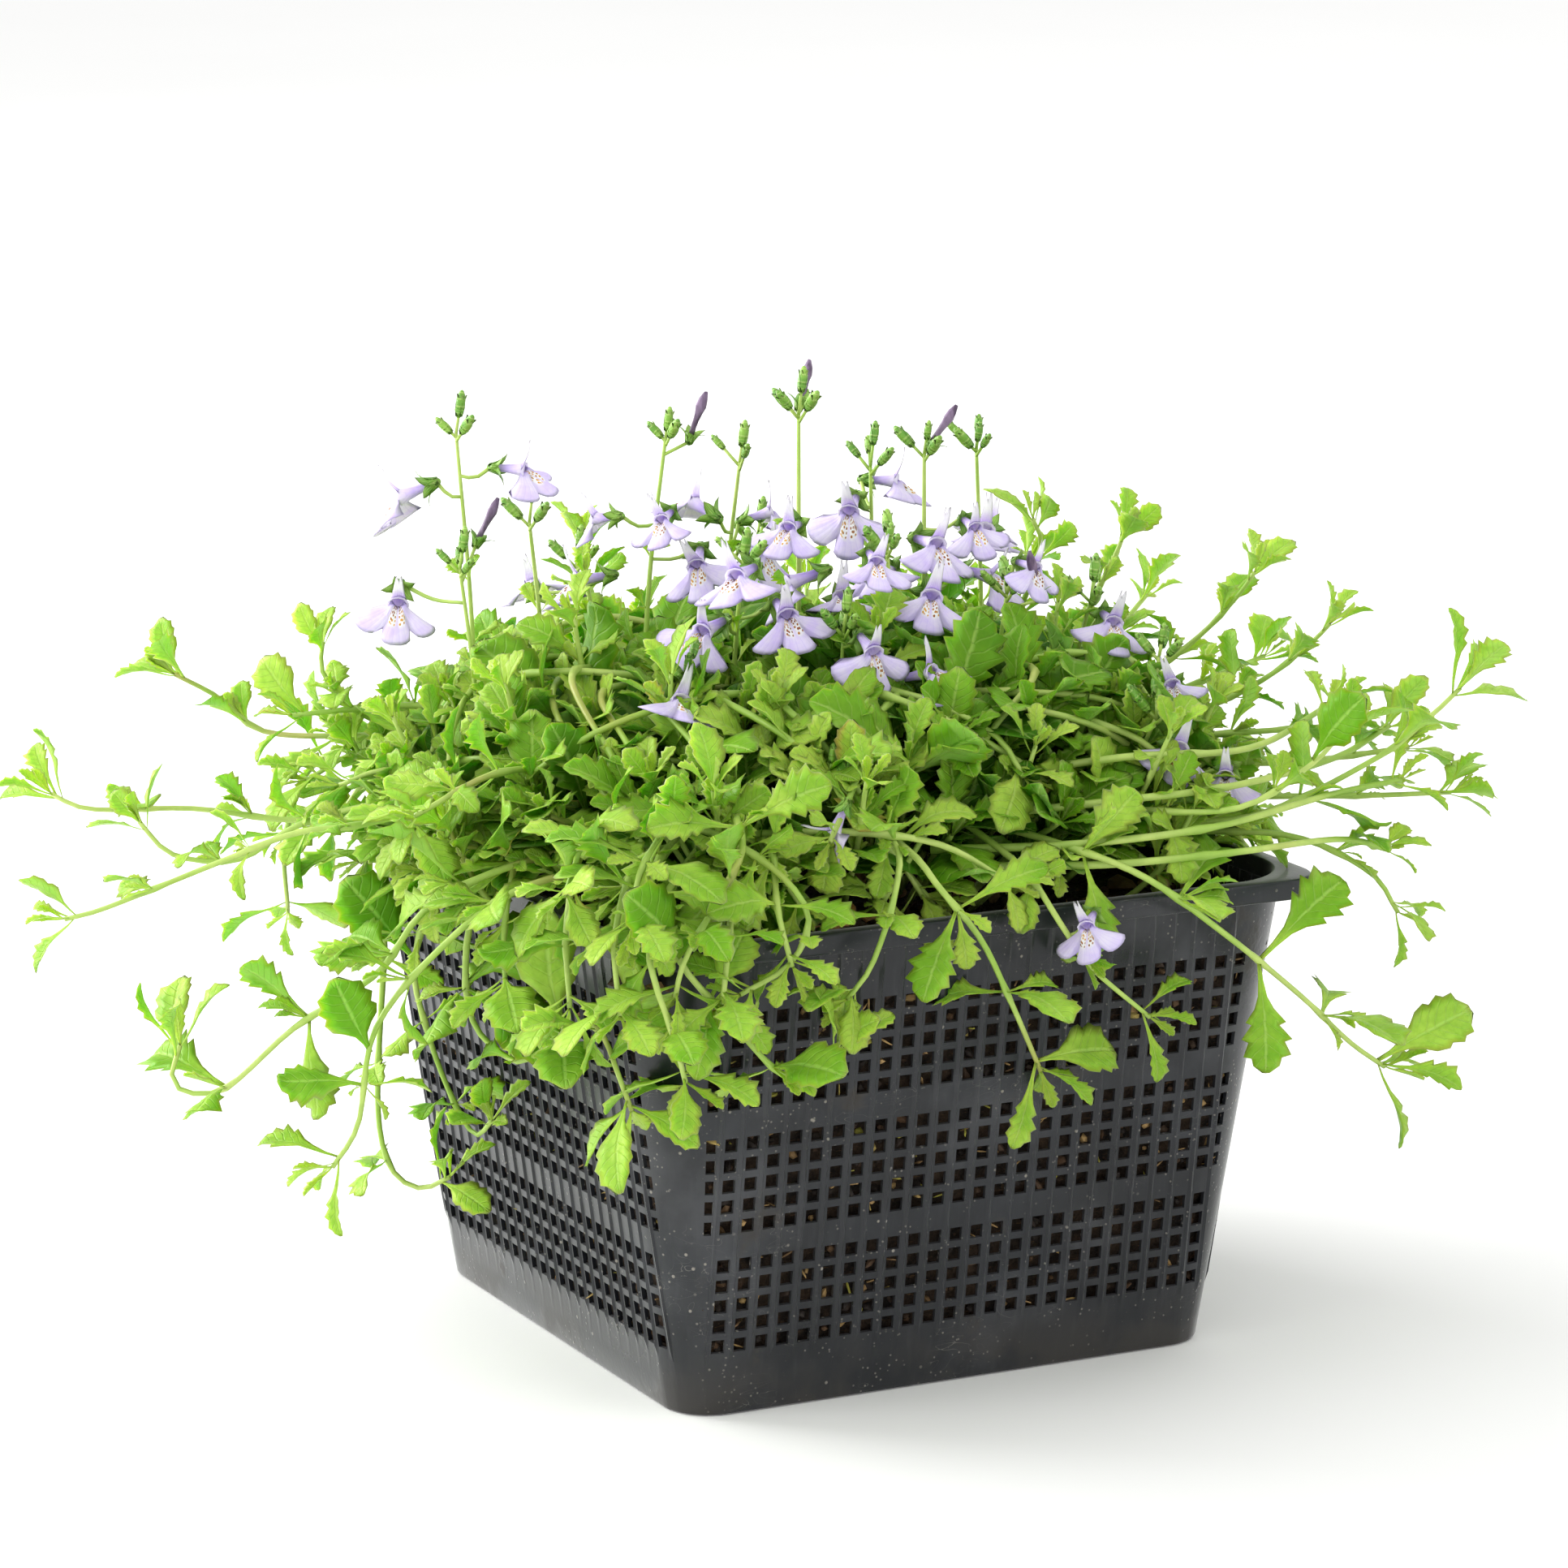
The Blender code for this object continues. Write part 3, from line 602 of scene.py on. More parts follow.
def makeBasketWall():
    sides = [makeWallSide()]
    for turn in range(1, 4):
        makeActive(sides[0])
        bpy.ops.object.duplicate()
        copy = bpy.context.object
        bpy.ops.transform.rotate(value=turn * math.pi / 2, orient_axis="Z", center_override=(0, 0, 0))
        bpy.ops.object.transform_apply(location=True, rotation=True, scale=True)
        sides.append(copy)
    wall = joinPieces("basket_wall", sides)
    openEdit()
    bpy.ops.mesh.remove_doubles(threshold=0.00003)
    closeEdit()
    outer = max(wall.data.polygons, key=lambda face: face.center.length)
    if outer.normal.dot(outer.center) < 0:
        wall.data.flip_normals()
    applyModifier(wall, "SOLIDIFY", thickness=basket["meshWall"], offset=-1.0, use_even_offset=False)
    return coat(wall, "plastic", basket["wallSmooth"])


def roundedPlate(half, corner, z, segments=10):
    # a square plane whose four corners are bevelled round
    dropSelection()
    bpy.ops.mesh.primitive_plane_add(size=half * 2, location=(0, 0, z))
    plate = bpy.context.object
    bpy.ops.object.transform_apply(location=True, rotation=True, scale=True)
    openEdit()
    bpy.ops.mesh.bevel(offset=corner, offset_type="OFFSET", segments=segments, profile=0.5, affect="VERTICES")
    bpy.ops.object.mode_set(mode="OBJECT")
    return plate


def makeBasketRim():
    low = basket["height"] - basket["rimHeight"]
    outer = roundedPlate(basket["rimHalf"], basket["rimCorner"], low)
    inner = roundedPlate(basket["topHalf"] - basket["wall"] * 1.35, basket["topCorner"] - basket["wall"], low)
    rim = joinPieces("basket_rim", [outer, inner])
    openEdit()
    bpy.ops.mesh.delete(type="ONLY_FACE")
    bpy.ops.mesh.select_mode(type="EDGE")
    bpy.ops.mesh.select_all(action="SELECT")
    bpy.ops.mesh.bridge_edge_loops()
    bpy.ops.mesh.select_all(action="SELECT")
    pushOut((0, 0, basket["rimHeight"]))
    closeEdit()
    applyModifier(rim, "BEVEL", width=basket["rimEdge"], segments=3, limit_method="ANGLE",
                  angle_limit=math.radians(50))
    return coat(rim, "plastic", basket["rimSmooth"])


def makeBasketFloor():
    # a plate that is flat inside, with a standing ring and shallow steps underneath
    inset = basket["floorInset"]
    plate = roundedPlate(basket["baseHalf"] - inset, basket["baseCorner"] - inset, basket["floorTop"])
    plate.name = "basket_floor"
    openEdit()
    for shrink, lift in ((1.0, -0.0022), (0.90, 0.0), (0.985, 0.0011), (0.84, 0.0), (0.985, -0.0005),
                         (0.80, 0.0), (0.98, 0.0005), (0.70, 0.0), (0.96, -0.0005), (0.5, 0.0)):
        pushOut((0, 0, lift))
        scaleAbout((shrink, shrink, 1), (0, 0, 0))
    closeEdit()
    return coat(plate, "plastic", basket["floorSmooth"])


settle(makeBasketWall(), "basket", "basket")
settle(makeBasketRim(), "basket")
settle(makeBasketFloor(), "basket")
print("basket is ready")


def readShape(piece, finish, under=None):
    # keeps a modelled piece's points, faces, map and finish so that copies can be laid out
    mesh = piece.data
    points = np.array([v.co[:] for v in mesh.vertices], float)
    faces = [tuple(face.vertices) for face in mesh.polygons]
    chart = np.zeros((len(mesh.loops), 2))
    if mesh.uv_layers:
        chart = np.array([item.uv[:] for item in mesh.uv_layers[0].data], float)
    below = np.zeros(len(points)) if under is None else under
    kinds = [plantFinishes.index(finish) if finish in plantFinishes else 0] * len(faces)
    bpy.data.objects.remove(piece, do_unlink=True)
    return {"points": points, "faces": faces, "chart": chart, "under": below, "kinds": kinds}


def mergeShapes(parts):
    merged = {"points": [], "faces": [], "chart": [], "under": [], "kinds": []}
    start = 0
    for part, place in parts:
        turned = np.array(place.to_3x3())
        merged["points"].append(part["points"] @ turned.T + np.array(place.translation))
        merged["faces"] += [tuple(i + start for i in face) for face in part["faces"]]
        merged["chart"].append(part["chart"])
        merged["under"].append(part["under"])
        merged["kinds"] += part["kinds"]
        start += len(part["points"])
    for key in ("points", "chart", "under"):
        merged[key] = np.concatenate(merged[key])
    return merged


def layOut(name, copies, finishes, smooth=True):
    # one mesh from many placed copies: (shape, place, tone)
    merged = mergeShapes([(shape, place) for shape, place, _ in copies])
    mesh = bpy.data.meshes.new(name)
    mesh.from_pydata(merged["points"].tolist(), [], merged["faces"])
    chart = mesh.uv_layers.new(name="leafMap")
    chart.data.foreach_set("uv", merged["chart"].ravel())
    tones = np.concatenate([np.full(len(shape["points"]), tone) for shape, _, tone in copies])
    mesh.attributes.new("tone", "FLOAT", "POINT").data.foreach_set("value", tones)
    mesh.attributes.new("under", "FLOAT", "POINT").data.foreach_set("value", merged["under"])
    for finish in finishes:
        mesh.materials.append(materials[finish])
    if len(finishes) > 1:
        mesh.polygons.foreach_set("material_index", merged["kinds"])
    mesh.polygons.foreach_set("use_smooth", [smooth] * len(mesh.polygons))
    mesh.update()
    piece = bpy.data.objects.new(name, mesh)
    bpy.context.scene.collection.objects.link(piece)
    return piece


def closeBlade(piece, thickness):
    # a second skin under the blade, joined to it all round the edge
    makeActive(piece)
    bpy.ops.object.mode_set(mode="EDIT")
    shape = bmesh.from_edit_mesh(piece.data)
    edgeSpots = {tuple(round(c, 7) for c in v.co) for v in shape.verts if v.is_boundary}
    top = len(shape.verts)
    bpy.ops.mesh.select_mode(type="VERT")
    bpy.ops.mesh.select_all(action="SELECT")
    bpy.ops.mesh.duplicate()
    bpy.ops.mesh.flip_normals()
    shape = bmesh.from_edit_mesh(piece.data)
    for vert in shape.verts:
        inside = tuple(round(c, 7) for c in vert.co) not in edgeSpots
        vert.select_set(bool(vert.select and inside))
    shape.select_flush_mode()
    bmesh.update_edit_mesh(piece.data)
    bpy.ops.transform.translate(value=(0, 0, -thickness))
    bpy.ops.mesh.select_all(action="SELECT")
    bpy.ops.mesh.remove_doubles(threshold=0.00001)
    bpy.ops.object.mode_set(mode="OBJECT")
    under = np.zeros(len(piece.data.vertices))
    under[top:] = 1.0
    return under


# each leaf: rows of (along, half width, lift), then how the blade cups and waves
leafKinds = {
    "broad": {"rows": [(0, .020, 0), (.14, .026, .015), (.28, .060, .03), (.40, .140, .04), (.49, .225, .04),
                       (.57, .262, .03), (.62, .225, .02), (.72, .275, .0), (.77, .225, -.01), (.86, .225, -.04),
                       (.91, .150, -.06), (1.0, .050, -.10)], "cup": .16, "wave": .07},
    "toothed": {"rows": [(0, .018, 0), (.18, .024, .02), (.34, .045, .05), (.46, .090, .07), (.56, .190, .08),
                         (.61, .135, .075), (.71, .240, .06), (.76, .170, .05), (.85, .220, .02),
                         (.89, .140, .01), (.95, .125, -.02), (1.0, .035, -.05)], "cup": .30, "wave": .14},
    "narrow": {"rows": [(0, .018, 0), (.20, .022, .03), (.37, .040, .06), (.49, .070, .09), (.59, .135, .10),
                        (.64, .095, .10), (.74, .170, .10), (.79, .120, .095), (.88, .155, .07),
                        (.92, .100, .06), (.96, .085, .04), (1.0, .025, .02)], "cup": .38, "wave": .12},
    "young": {"rows": [(0, .028, 0), (.12, .040, .02), (.25, .065, .05), (.38, .110, .08), (.50, .180, .11),
                       (.56, .140, .125), (.66, .205, .15), (.72, .150, .16), (.82, .190, .18),
                       (.87, .120, .19), (.94, .100, .20), (1.0, .025, .20)], "cup": .55, "wave": .16},
    "drooped": {"rows": [(0, .020, 0), (.16, .026, .04), (.30, .050, .08), (.42, .110, .10), (.52, .215, .09),
                         (.57, .165, .075), (.68, .262, .02), (.73, .195, -.01), (.82, .240, -.09),
                         (.87, .165, -.13), (.93, .140, -.19), (.98, .040, -.25)], "cup": .22, "wave": .12},
    "curled": {"rows": [(0, .022, 0), (.15, .030, .01), (.28, .060, .01), (.39, .130, .0), (.48, .225, -.02),
                        (.54, .175, -.03), (.63, .250, -.06), (.68, .185, -.07), (.76, .225, -.09),
                        (.81, .145, -.10), (.88, .120, -.09), (.93, .035, -.07)], "cup": -.30, "wave": .18},
}


def makeLeaf(name):
    kind = leafKinds[name]
    count = len(kind["rows"])
    leaf = addGrid("leaf", count, 5)
    makeActive(leaf)
    openEdit()
    bpy.ops.transform.translate(value=(0, -2, 0))
    # across the blade: edges lifted, midrib sunk
    pickParts(leaf, "VERT", lambda v: abs(abs(v.co.y) - 2) < 0.1)
    bpy.ops.transform.translate(value=(0, 0, kind["cup"] * 2))
    pickParts(leaf, "VERT", lambda v: abs(abs(v.co.y) - 1) < 0.1)
    bpy.ops.transform.translate(value=(0, 0, kind["cup"] * 0.8 + 0.16))
    for row in reversed(range(count)):
        along, half, lift = kind["rows"][row]
        pickParts(leaf, "VERT", lambda v: abs(v.co.x - row) < 0.1)
        scaleAbout((1, half / 2, half / 2), (row, 0, 0))
        bpy.ops.transform.translate(value=(100 + along - row, 0, lift))
    bpy.ops.mesh.select_all(action="SELECT")
    bpy.ops.transform.translate(value=(-100, 0, 0))
    bpy.ops.object.mode_set(mode="OBJECT")
    for vert in leaf.data.vertices:
        half = abs(vert.co.y)
        vert.co.z += kind["wave"] * half * math.sin(vert.co.x * 17) * (1 if vert.co.y > 0 else -0.6)
        vert.co.x += 0.03 if vert.co.x > 0.5 and half > 0.9 * 0.2 else 0.0
    under = closeBlade(leaf, 0.012)
    return readShape(leaf, "leaf", under)


petalThickness = 0.16
sepalThickness = 0.22


def shapeGrid(name, across, along, rule, thickness):
    # a closed blade, named after its finish, whose points follow a rule of two shares:
    # u across it from -1 to 1 and v along it from 0 to 1
    piece = addGrid(name, along, across)
    for vert in piece.data.vertices:
        v = vert.co.x / (along - 1)
        u = vert.co.y / (across - 1) * 2 - 1
        vert.co = Vector(rule(u, v)) * mm
    closeBlade(piece, thickness * mm)
    return readShape(piece, name)


def lowerLipPoint(u, v, droop, skew):
    # three long rounded lobes with deep cuts between them, and two ridges at the throat
    side = abs(u)
    fromLobe = side / 0.33 if side < 0.33 else abs(side - 0.665) / 0.335
    fullness = math.sqrt(max(0.0, 1 - min(1.0, fromLobe) ** 2.6))
    reach = (8.9 if side < 0.33 else 8.3) * (0.50 + 0.50 * fullness)
    radius = 1.7 + v * reach
    angle = u * math.radians(76 + skew * u) * (0.70 + 0.30 * v)
    forward = radius * math.cos(angle) - 1.7
    sideways = radius * math.sin(angle)
    ridge = 1.25 * math.exp(-((abs(sideways) - 1.3) / 0.65) ** 2) * max(0.0, 1 - (v / 0.62) ** 2)
    height = ridge - 2.1 * v ** 2.4 + 0.7 * fullness * v * v - 0.9 * side * v
    fall = math.radians(droop)
    return (forward * math.cos(fall) + height * math.sin(fall) - 0.3, sideways,
            -forward * math.sin(fall) + height * math.cos(fall) - 0.7)


def upperLipRule(u, v):
    # a narrow raised hood that ends in two points
    width = 1.8 - 1.15 * v ** 0.8
    forkCut = 1.8 * max(0.0, 1 - abs(u) * 1.8) * v ** 3
    length = v * 7.4 - forkCut
    rise = math.radians(60 + 14 * v)
    arch = 1.3 * (1 - u * u) * (1 - 0.5 * v)
    return (length * math.cos(rise) - 0.8 - arch * math.sin(rise) * 0.3, u * width,
            0.4 + length * math.sin(rise) + arch * math.cos(rise))


def sepalRule(flare, length, width):
    def rule(u, v):
        half = width * (0.62 + 1.1 * v - 1.66 * v ** 2.4)
        turn = math.radians(flare) * v
        return (-0.5 + v * length * math.cos(turn), u * max(half, 0.06),
                0.75 + v * length * math.sin(turn) - 0.35 * u * u)
    return rule


def makeCorolla(droop, skew):
    # rings along the tube: (x, half width, half height)
    rings = [(-8.6, 0.45, 0.45), (-6.6, 0.85, 0.80), (-4.2, 1.05, 0.95), (-2.0, 1.45, 1.25), (-0.6, 2.0, 1.6),
             (0.1, 2.3, 1.7), (-0.3, 1.8, 1.25), (-2.6, 0.7, 0.5)]
    dropSelection()
    bpy.ops.mesh.primitive_circle_add(vertices=10, radius=1.0, fill_type="NOTHING")
    tube = bpy.context.object
    for vert in tube.data.vertices:
        x, wide, high = rings[0]
        vert.co = Vector((x, vert.co.x * wide, vert.co.y * high)) * mm
    openEdit()
    bpy.ops.mesh.edge_face_add()
    bpy.ops.mesh.select_all(action="SELECT")
    for (x0, wide0, high0), (x1, wide1, high1) in zip(rings, rings[1:]):
        pushOut(((x1 - x0) * mm, 0, 0))
        scaleAbout((1, wide1 / wide0, high1 / high0), (x1 * mm, 0, 0))
    closeEdit()
    shape = readShape(tube, "hood")
    corners = [index for face in shape["faces"] for index in face]
    spots = shape["points"][corners]
    shape["chart"] = np.stack([np.clip((spots[:, 0] / mm + 10) / 22, 0, 1), spots[:, 1] / mm / 4 + 0.5], 1)
    lip = shapeGrid("lip", 25, 9, lambda u, v: lowerLipPoint(u, v, droop, skew), petalThickness)
    hood = shapeGrid("hood", 7, 6, upperLipRule, petalThickness)
    still = Matrix.Identity(4)
    return mergeShapes([(shape, still), (lip, still), (hood, still)])


def makeCalyx(flare, length, width):
    sepal = shapeGrid("sepal", 3, 6, sepalRule(flare, length, width), sepalThickness)
    dropSelection()
    bpy.ops.mesh.primitive_cone_add(vertices=10, radius1=0.5 * mm, radius2=1.35 * mm, depth=2.2 * mm,
                                    rotation=(0, math.pi / 2, 0), location=(0.2 * mm, 0, 0))
    cup = bpy.context.object
    bpy.ops.object.transform_apply(location=True, rotation=True, scale=True)
    openEdit()
    bpy.ops.mesh.bevel(offset=0.2 * mm, segments=1)
    bpy.ops.object.mode_set(mode="OBJECT")
    parts = [(readShape(cup, "sepal"), Matrix.Identity(4))]
    for i in range(5):
        parts.append((sepal, Matrix.Rotation(i * math.tau / 5 + 0.3, 4, "X")))
    return mergeShapes(parts)


def makeBud():
    # a pointed, five-ribbed bud standing on +X
    dropSelection()
    bpy.ops.mesh.primitive_uv_sphere_add(segments=10, ring_count=7, radius=1.0)
    bud = bpy.context.object
    for vert in bud.data.vertices:
        angle = math.atan2(vert.co.y, vert.co.x)
        ribbed = 1.0 - 0.12 * (math.cos(angle * 5) < 0)
        along = vert.co.z
        full = (1.30 - 0.15 * along) * ribbed
        vert.co = Vector((3.0 + along * 3.2, vert.co.x * full, vert.co.y * full)) * mm
    return readShape(bud, "sepal")


def makeWilted():
    # a rolled and shrunken corolla, a little bent
    dropSelection()
    bpy.ops.mesh.primitive_cone_add(vertices=9, radius1=0.9 * mm, radius2=0.9 * mm, depth=11 * mm,
                                    rotation=(0, math.pi / 2, 0), location=(5.5 * mm, 0, 0))
    roll = bpy.context.object
    bpy.ops.object.transform_apply(location=True, rotation=True, scale=True)
    bpy.ops.object.mode_set(mode="EDIT")
    pickParts(roll, "EDGE", lambda e: abs(e.verts[0].co.x - e.verts[1].co.x) > 5 * mm)
    bpy.ops.mesh.subdivide(number_cuts=5)
    bpy.ops.object.mode_set(mode="OBJECT")
    for vert in roll.data.vertices:
        share = vert.co.x / (11 * mm)
        angle = math.atan2(vert.co.z, vert.co.y)
        swell = 0.75 + 0.75 * math.exp(-((share - 0.72) / 0.22) ** 2) - 0.45 * share ** 4
        swell *= 1 + 0.22 * math.cos(angle * 3 + share * 4)
        vert.co.y *= swell
        vert.co.z = vert.co.z * swell - 1.6 * mm * share ** 2
    return readShape(roll, "wilted")


def makeCrumb(seed, stretch):
    dice = random.Random(seed)
    dropSelection()
    bpy.ops.mesh.primitive_ico_sphere_add(subdivisions=1, radius=1.0)
    crumb = bpy.context.object
    for vert in crumb.data.vertices:
        vert.co *= dice.uniform(0.7, 1.2)
        vert.co.x *= stretch
    return readShape(crumb, "bits")


leafShapes = {name: makeLeaf(name) for name in leafKinds}
corollas = [makeCorolla(28, 0), makeCorolla(12, 9), makeCorolla(46, -8), makeCorolla(20, -12)]
openCalyx = makeCalyx(42, 5.0, 1.45)
closedCalyx = makeCalyx(7, 5.6, 1.35)
budShape = makeBud()
wiltedShape = makeWilted()
crumbShapes = [makeCrumb(1, 1.0), makeCrumb(2, 1.5), makeCrumb(3, 2.2)]
strawShape = makeCrumb(4, 9.0)
print("leaf, flower and crumb shapes are ready")


# soil
soil = {
    "seed": 31, "top": 0.108, "gap": 0.0004, "voxel": 0.0021, "roughness": 0.0034,
    "crumbsOnTop": 640, "heapCrumbs": 460, "crumbsInHoles": 1500, "strawInHoles": 420,
}


def makeSoilFill():
    low = 0.0035
    shrink = basket["wall"] + soil["gap"]
    fill = roundedPlate(halfAt(low) - shrink, cornerAt(low) - shrink, low)
    fill.name = "soil_fill"
    openEdit()
    rise = soil["top"] - low
    pushOut((0, 0, rise))
    wider = (halfAt(soil["top"]) - shrink) / (halfAt(low) - shrink)
    scaleAbout((wider, wider, 1), (0, 0, soil["top"]))
    closeEdit()
    applyModifier(fill, "REMESH", mode="VOXEL", voxel_size=soil["voxel"])
    lumps = bpy.data.textures.new("lumps", "CLOUDS")
    lumps.noise_scale = 0.009
    lumps.noise_depth = 4
    applyModifier(fill, "DISPLACE", texture=lumps, texture_coords="LOCAL", strength=soil["roughness"],
                  mid_level=0.95)
    return coat(fill, "soil")


def spinPlace(dice, place, size):
    # turned at random about all three axes
    spun = Matrix.Translation(place)
    for axis in "ZXY":
        spun = spun @ Matrix.Rotation(dice.uniform(0, math.tau), 4, axis)
    return spun @ Matrix.Scale(size, 4)


def makeSoilBits():
    dice = random.Random(soil["seed"])
    copies = []
    reach = halfAt(soil["top"]) - 0.006
    for _ in range(soil["crumbsOnTop"]):
        x = dice.uniform(-reach, reach)
        y = -reach + abs(dice.gauss(0, 0.022)) if dice.random() < 0.6 else dice.uniform(-reach, reach)
        size = dice.uniform(0.0008, 0.0024)
        place = Vector((x, min(y, reach), soil["top"] - 0.0006 + size * 0.3))
        copies.append((dice.choice(crumbShapes), spinPlace(dice, place, size), dice.random() ** 1.6))
    for _ in range(soil["heapCrumbs"]):
        # a low heap against the front rim
        x = dice.gauss(-0.042, 0.018)
        y = dice.uniform(-0.082, -0.050)
        level = 0.0085 * math.exp(-((x + 0.042) / 0.030) ** 2) * dice.uniform(0.4, 1.0)
        size = dice.uniform(0.0012, 0.0034)
        copies.append((dice.choice(crumbShapes), spinPlace(dice, Vector((x, y, soil["top"] + level)), size),
                       dice.uniform(0.1, 0.75)))
    rows = holeRows()
    columns = columnPlaces()
    inward = basket["wall"]
    for count in range(soil["crumbsInHoles"] + soil["strawInHoles"]):
        straw = count >= soil["crumbsInHoles"]
        z = dice.choice(rows) + dice.uniform(-0.0018, 0.0018)
        across = dice.choice(columns) + dice.uniform(-0.0015, 0.0015)
        depth = dice.uniform(0.0004, 0.0018) + inward if not straw else inward * dice.uniform(0.8, 1.4)
        place = Matrix.Rotation(dice.randrange(4) * math.pi / 2, 4, "Z") @ wallPoint(across, z, -depth)
        size = dice.uniform(0.0006, 0.0014) if not straw else dice.uniform(0.00016, 0.00036)
        shape = strawShape if straw else dice.choice(crumbShapes)
        tone = dice.uniform(0.6, 1.0) if straw else dice.random() ** 2.4
        copies.append((shape, spinPlace(dice, place, size), tone))
    return layOut("soil_bits", copies, ["bits"], smooth=False)


settle(makeSoilFill(), "soil", "soil")
settle(makeSoilBits(), "soil")
print("soil is ready")


# stems and leaves
growth = {
    "step": 0.0035, "runnerRadius": 0.00094, "shootRadius": 0.00090, "stalkRadius": 0.00075,
    "crownStem": 0.001, "nodeSwell": 1.35, "thinning": 0.62, "nodeSpacing": 0.0195, "tuftChance": 0.75,
    "bigger": 1.28, "oldChance": 0.009, "oldTone": 1.7, "dryTone": 2.4,
    "runnerSeed": 200, "shootSeed": 300, "stalkSeed": 400, "lowFlowerSeed": 9,
    "runnerTone": 0.72, "shootTone": 0.75, "drapeTone": 0.74, "sideLeafTone": 0.42,
    "shootSpacing": 0.014, "drapeSpacing": 0.013, "uprightSpacing": 0.012,
}


def inMetres(route):
    return [Vector(point) * mm for point in route]


def stray(dice, far):
    return Vector([dice.uniform(-far, far) for _ in range(3)])


def headingAt(path, spot):
    # the way a path runs at one of its inner points
    return (path[spot + 1] - path[spot - 1]).normalized()


def smoothPath(points, step=growth["step"]):
    # a Catmull-Rom curve through the route's points, cut into even steps
    knots = [points[0] * 2 - points[1]] + points + [points[-1] * 2 - points[-2]]
    fine = []
    for a, b, c, d in zip(knots, knots[1:], knots[2:], knots[3:]):
        for i in range(16):
            t = i / 16
            fine.append(0.5 * (2 * b + (c - a) * t + (2 * a - 5 * b + 4 * c - d) * t * t
                               + (3 * b - a - 3 * c + d) * t ** 3))
    fine.append(points[-1])
    path = [fine[0]]
    for point in fine:
        if (point - path[-1]).length >= step:
            path.append(point)
    if (fine[-1] - path[-1]).length > step / 3:
        path.append(fine[-1])
    return path


def awayFromPot(point):
    if abs(point.x) > abs(point.y):
        return Vector((math.copysign(1, point.x), point.y * 4, 0)).normalized()
    return Vector((point.x * 4, math.copysign(1, point.y), 0)).normalized()


def sideOf(along):
    side = along.cross(upward)
    return side.normalized() if side.length > 0.15 else Vector((1, 0, 0))


def leafPlace(base, direction, faceTo, length, width=1.0):
    forward = direction.normalized()
    side = faceTo.cross(forward)
    if side.length < 0.05:
        side = Vector((0.3, 1, 0)).cross(forward)
    side.normalize()
    upper = forward.cross(side)
    place = Matrix.Identity(4)
    for row in range(3):
        place[row][0] = forward[row] * length
        place[row][1] = side[row] * length * width
        place[row][2] = upper[row] * length
        place[row][3] = base[row]
    return place


def addLeaf(copies, dice, base, direction, length, tone, kinds):
    faceTo = upward * 0.8 + awayFromPot(base) * 0.45 + stray(dice, 0.35)
    if dice.random() < growth["oldChance"]:
        tone = growth["oldTone"]
    shape = leafShapes[dice.choice(kinds)]
    copies.append((shape, leafPlace(base, direction, faceTo, length, dice.uniform(0.85, 1.15)), tone))


def growNode(copies, dice, point, along, turn, length, tone, tuft, spread=0.9):
    # an opposite pair of leaves, and often a tuft of young ones between them
    side = sideOf(along)
    out = awayFromPot(point)
    lift = upward * 0.35 + out * (0.35 if point.z < 0.13 else 0.1)
    for half in (0, math.pi):
        way = Matrix.Rotation(turn + half + dice.uniform(-0.3, 0.3), 3, along) @ side
        direction = way * spread + along * (1.3 - spread) + lift
        direction += stray(dice, 0.2)
        kinds = ("broad", "toothed", "toothed", "drooped", "curled")
        size = length * dice.uniform(0.75, 1.15)
        addLeaf(copies, dice, point, direction, size, tone + dice.uniform(-0.12, 0.12), kinds)
    if tuft:
        for _ in range(dice.randint(2, 4)):
            way = Matrix.Rotation(dice.uniform(0, math.tau), 3, along) @ side
            direction = way * 0.6 + along * 0.7 + lift
            size = length * dice.uniform(0.35, 0.65)
            addLeaf(copies, dice, point, direction, size, tone + dice.uniform(0.0, 0.2),
                    ("young", "narrow", "toothed"))


def growTip(copies, dice, point, along, length, tone):
    side = sideOf(along)
    start = dice.uniform(0, math.tau)
    lift = upward * 0.25 + (awayFromPot(point) * 0.2 if point.z < 0.13 else Vector())
    for pair, (size, spread) in enumerate(((0.95, 1.0), (0.72, 0.65), (0.42, 0.3))):
        for half in (0, math.pi):
            way = Matrix.Rotation(start + pair * math.pi / 2 + half, 3, along) @ side
            direction = way * spread + along * 0.8 + lift
            base = point - along * (0.003 - pair * 0.0015)
            kinds = ("toothed", "broad", "narrow") if pair < 2 else ("young",)
            addLeaf(copies, dice, base, direction, length * size * dice.uniform(0.85, 1.1), tone + 0.1, kinds)


def makeStems(name, stems):
    # every stem is (path, radius at the start, radius at the end, swollen spots)
    curve = bpy.data.curves.new(name, "CURVE")
    curve.dimensions = "3D"
    curve.bevel_depth = mm
    curve.bevel_resolution = 1
    curve.use_fill_caps = True
    for path, thick, thin, swollen in stems:
        spline = curve.splines.new("POLY")
        spline.points.add(len(path) - 1)
        for i, point in enumerate(path):
            share = i / (len(path) - 1)
            spline.points[i].co = (*point, 1)
            swell = growth["nodeSwell"] if i in swollen else 1.0
            spline.points[i].radius = (thick + (thin - thick) * share) / mm * swell
    piece = bpy.data.objects.new(name, curve)
    bpy.context.scene.collection.objects.link(piece)
    makeActive(piece)
    bpy.ops.object.convert(target="MESH")
    piece = bpy.context.object
    openEdit()
    bpy.ops.mesh.remove_doubles(threshold=0.00001)
    closeEdit()
    bpy.ops.object.shade_smooth()
    piece.data.materials.clear()
    for finish in plantFinishes:
        piece.data.materials.append(materials[finish])
    piece.data.polygons.foreach_set("material_index", [plantFinishes.index("stem")] * len(piece.data.polygons))
    return piece


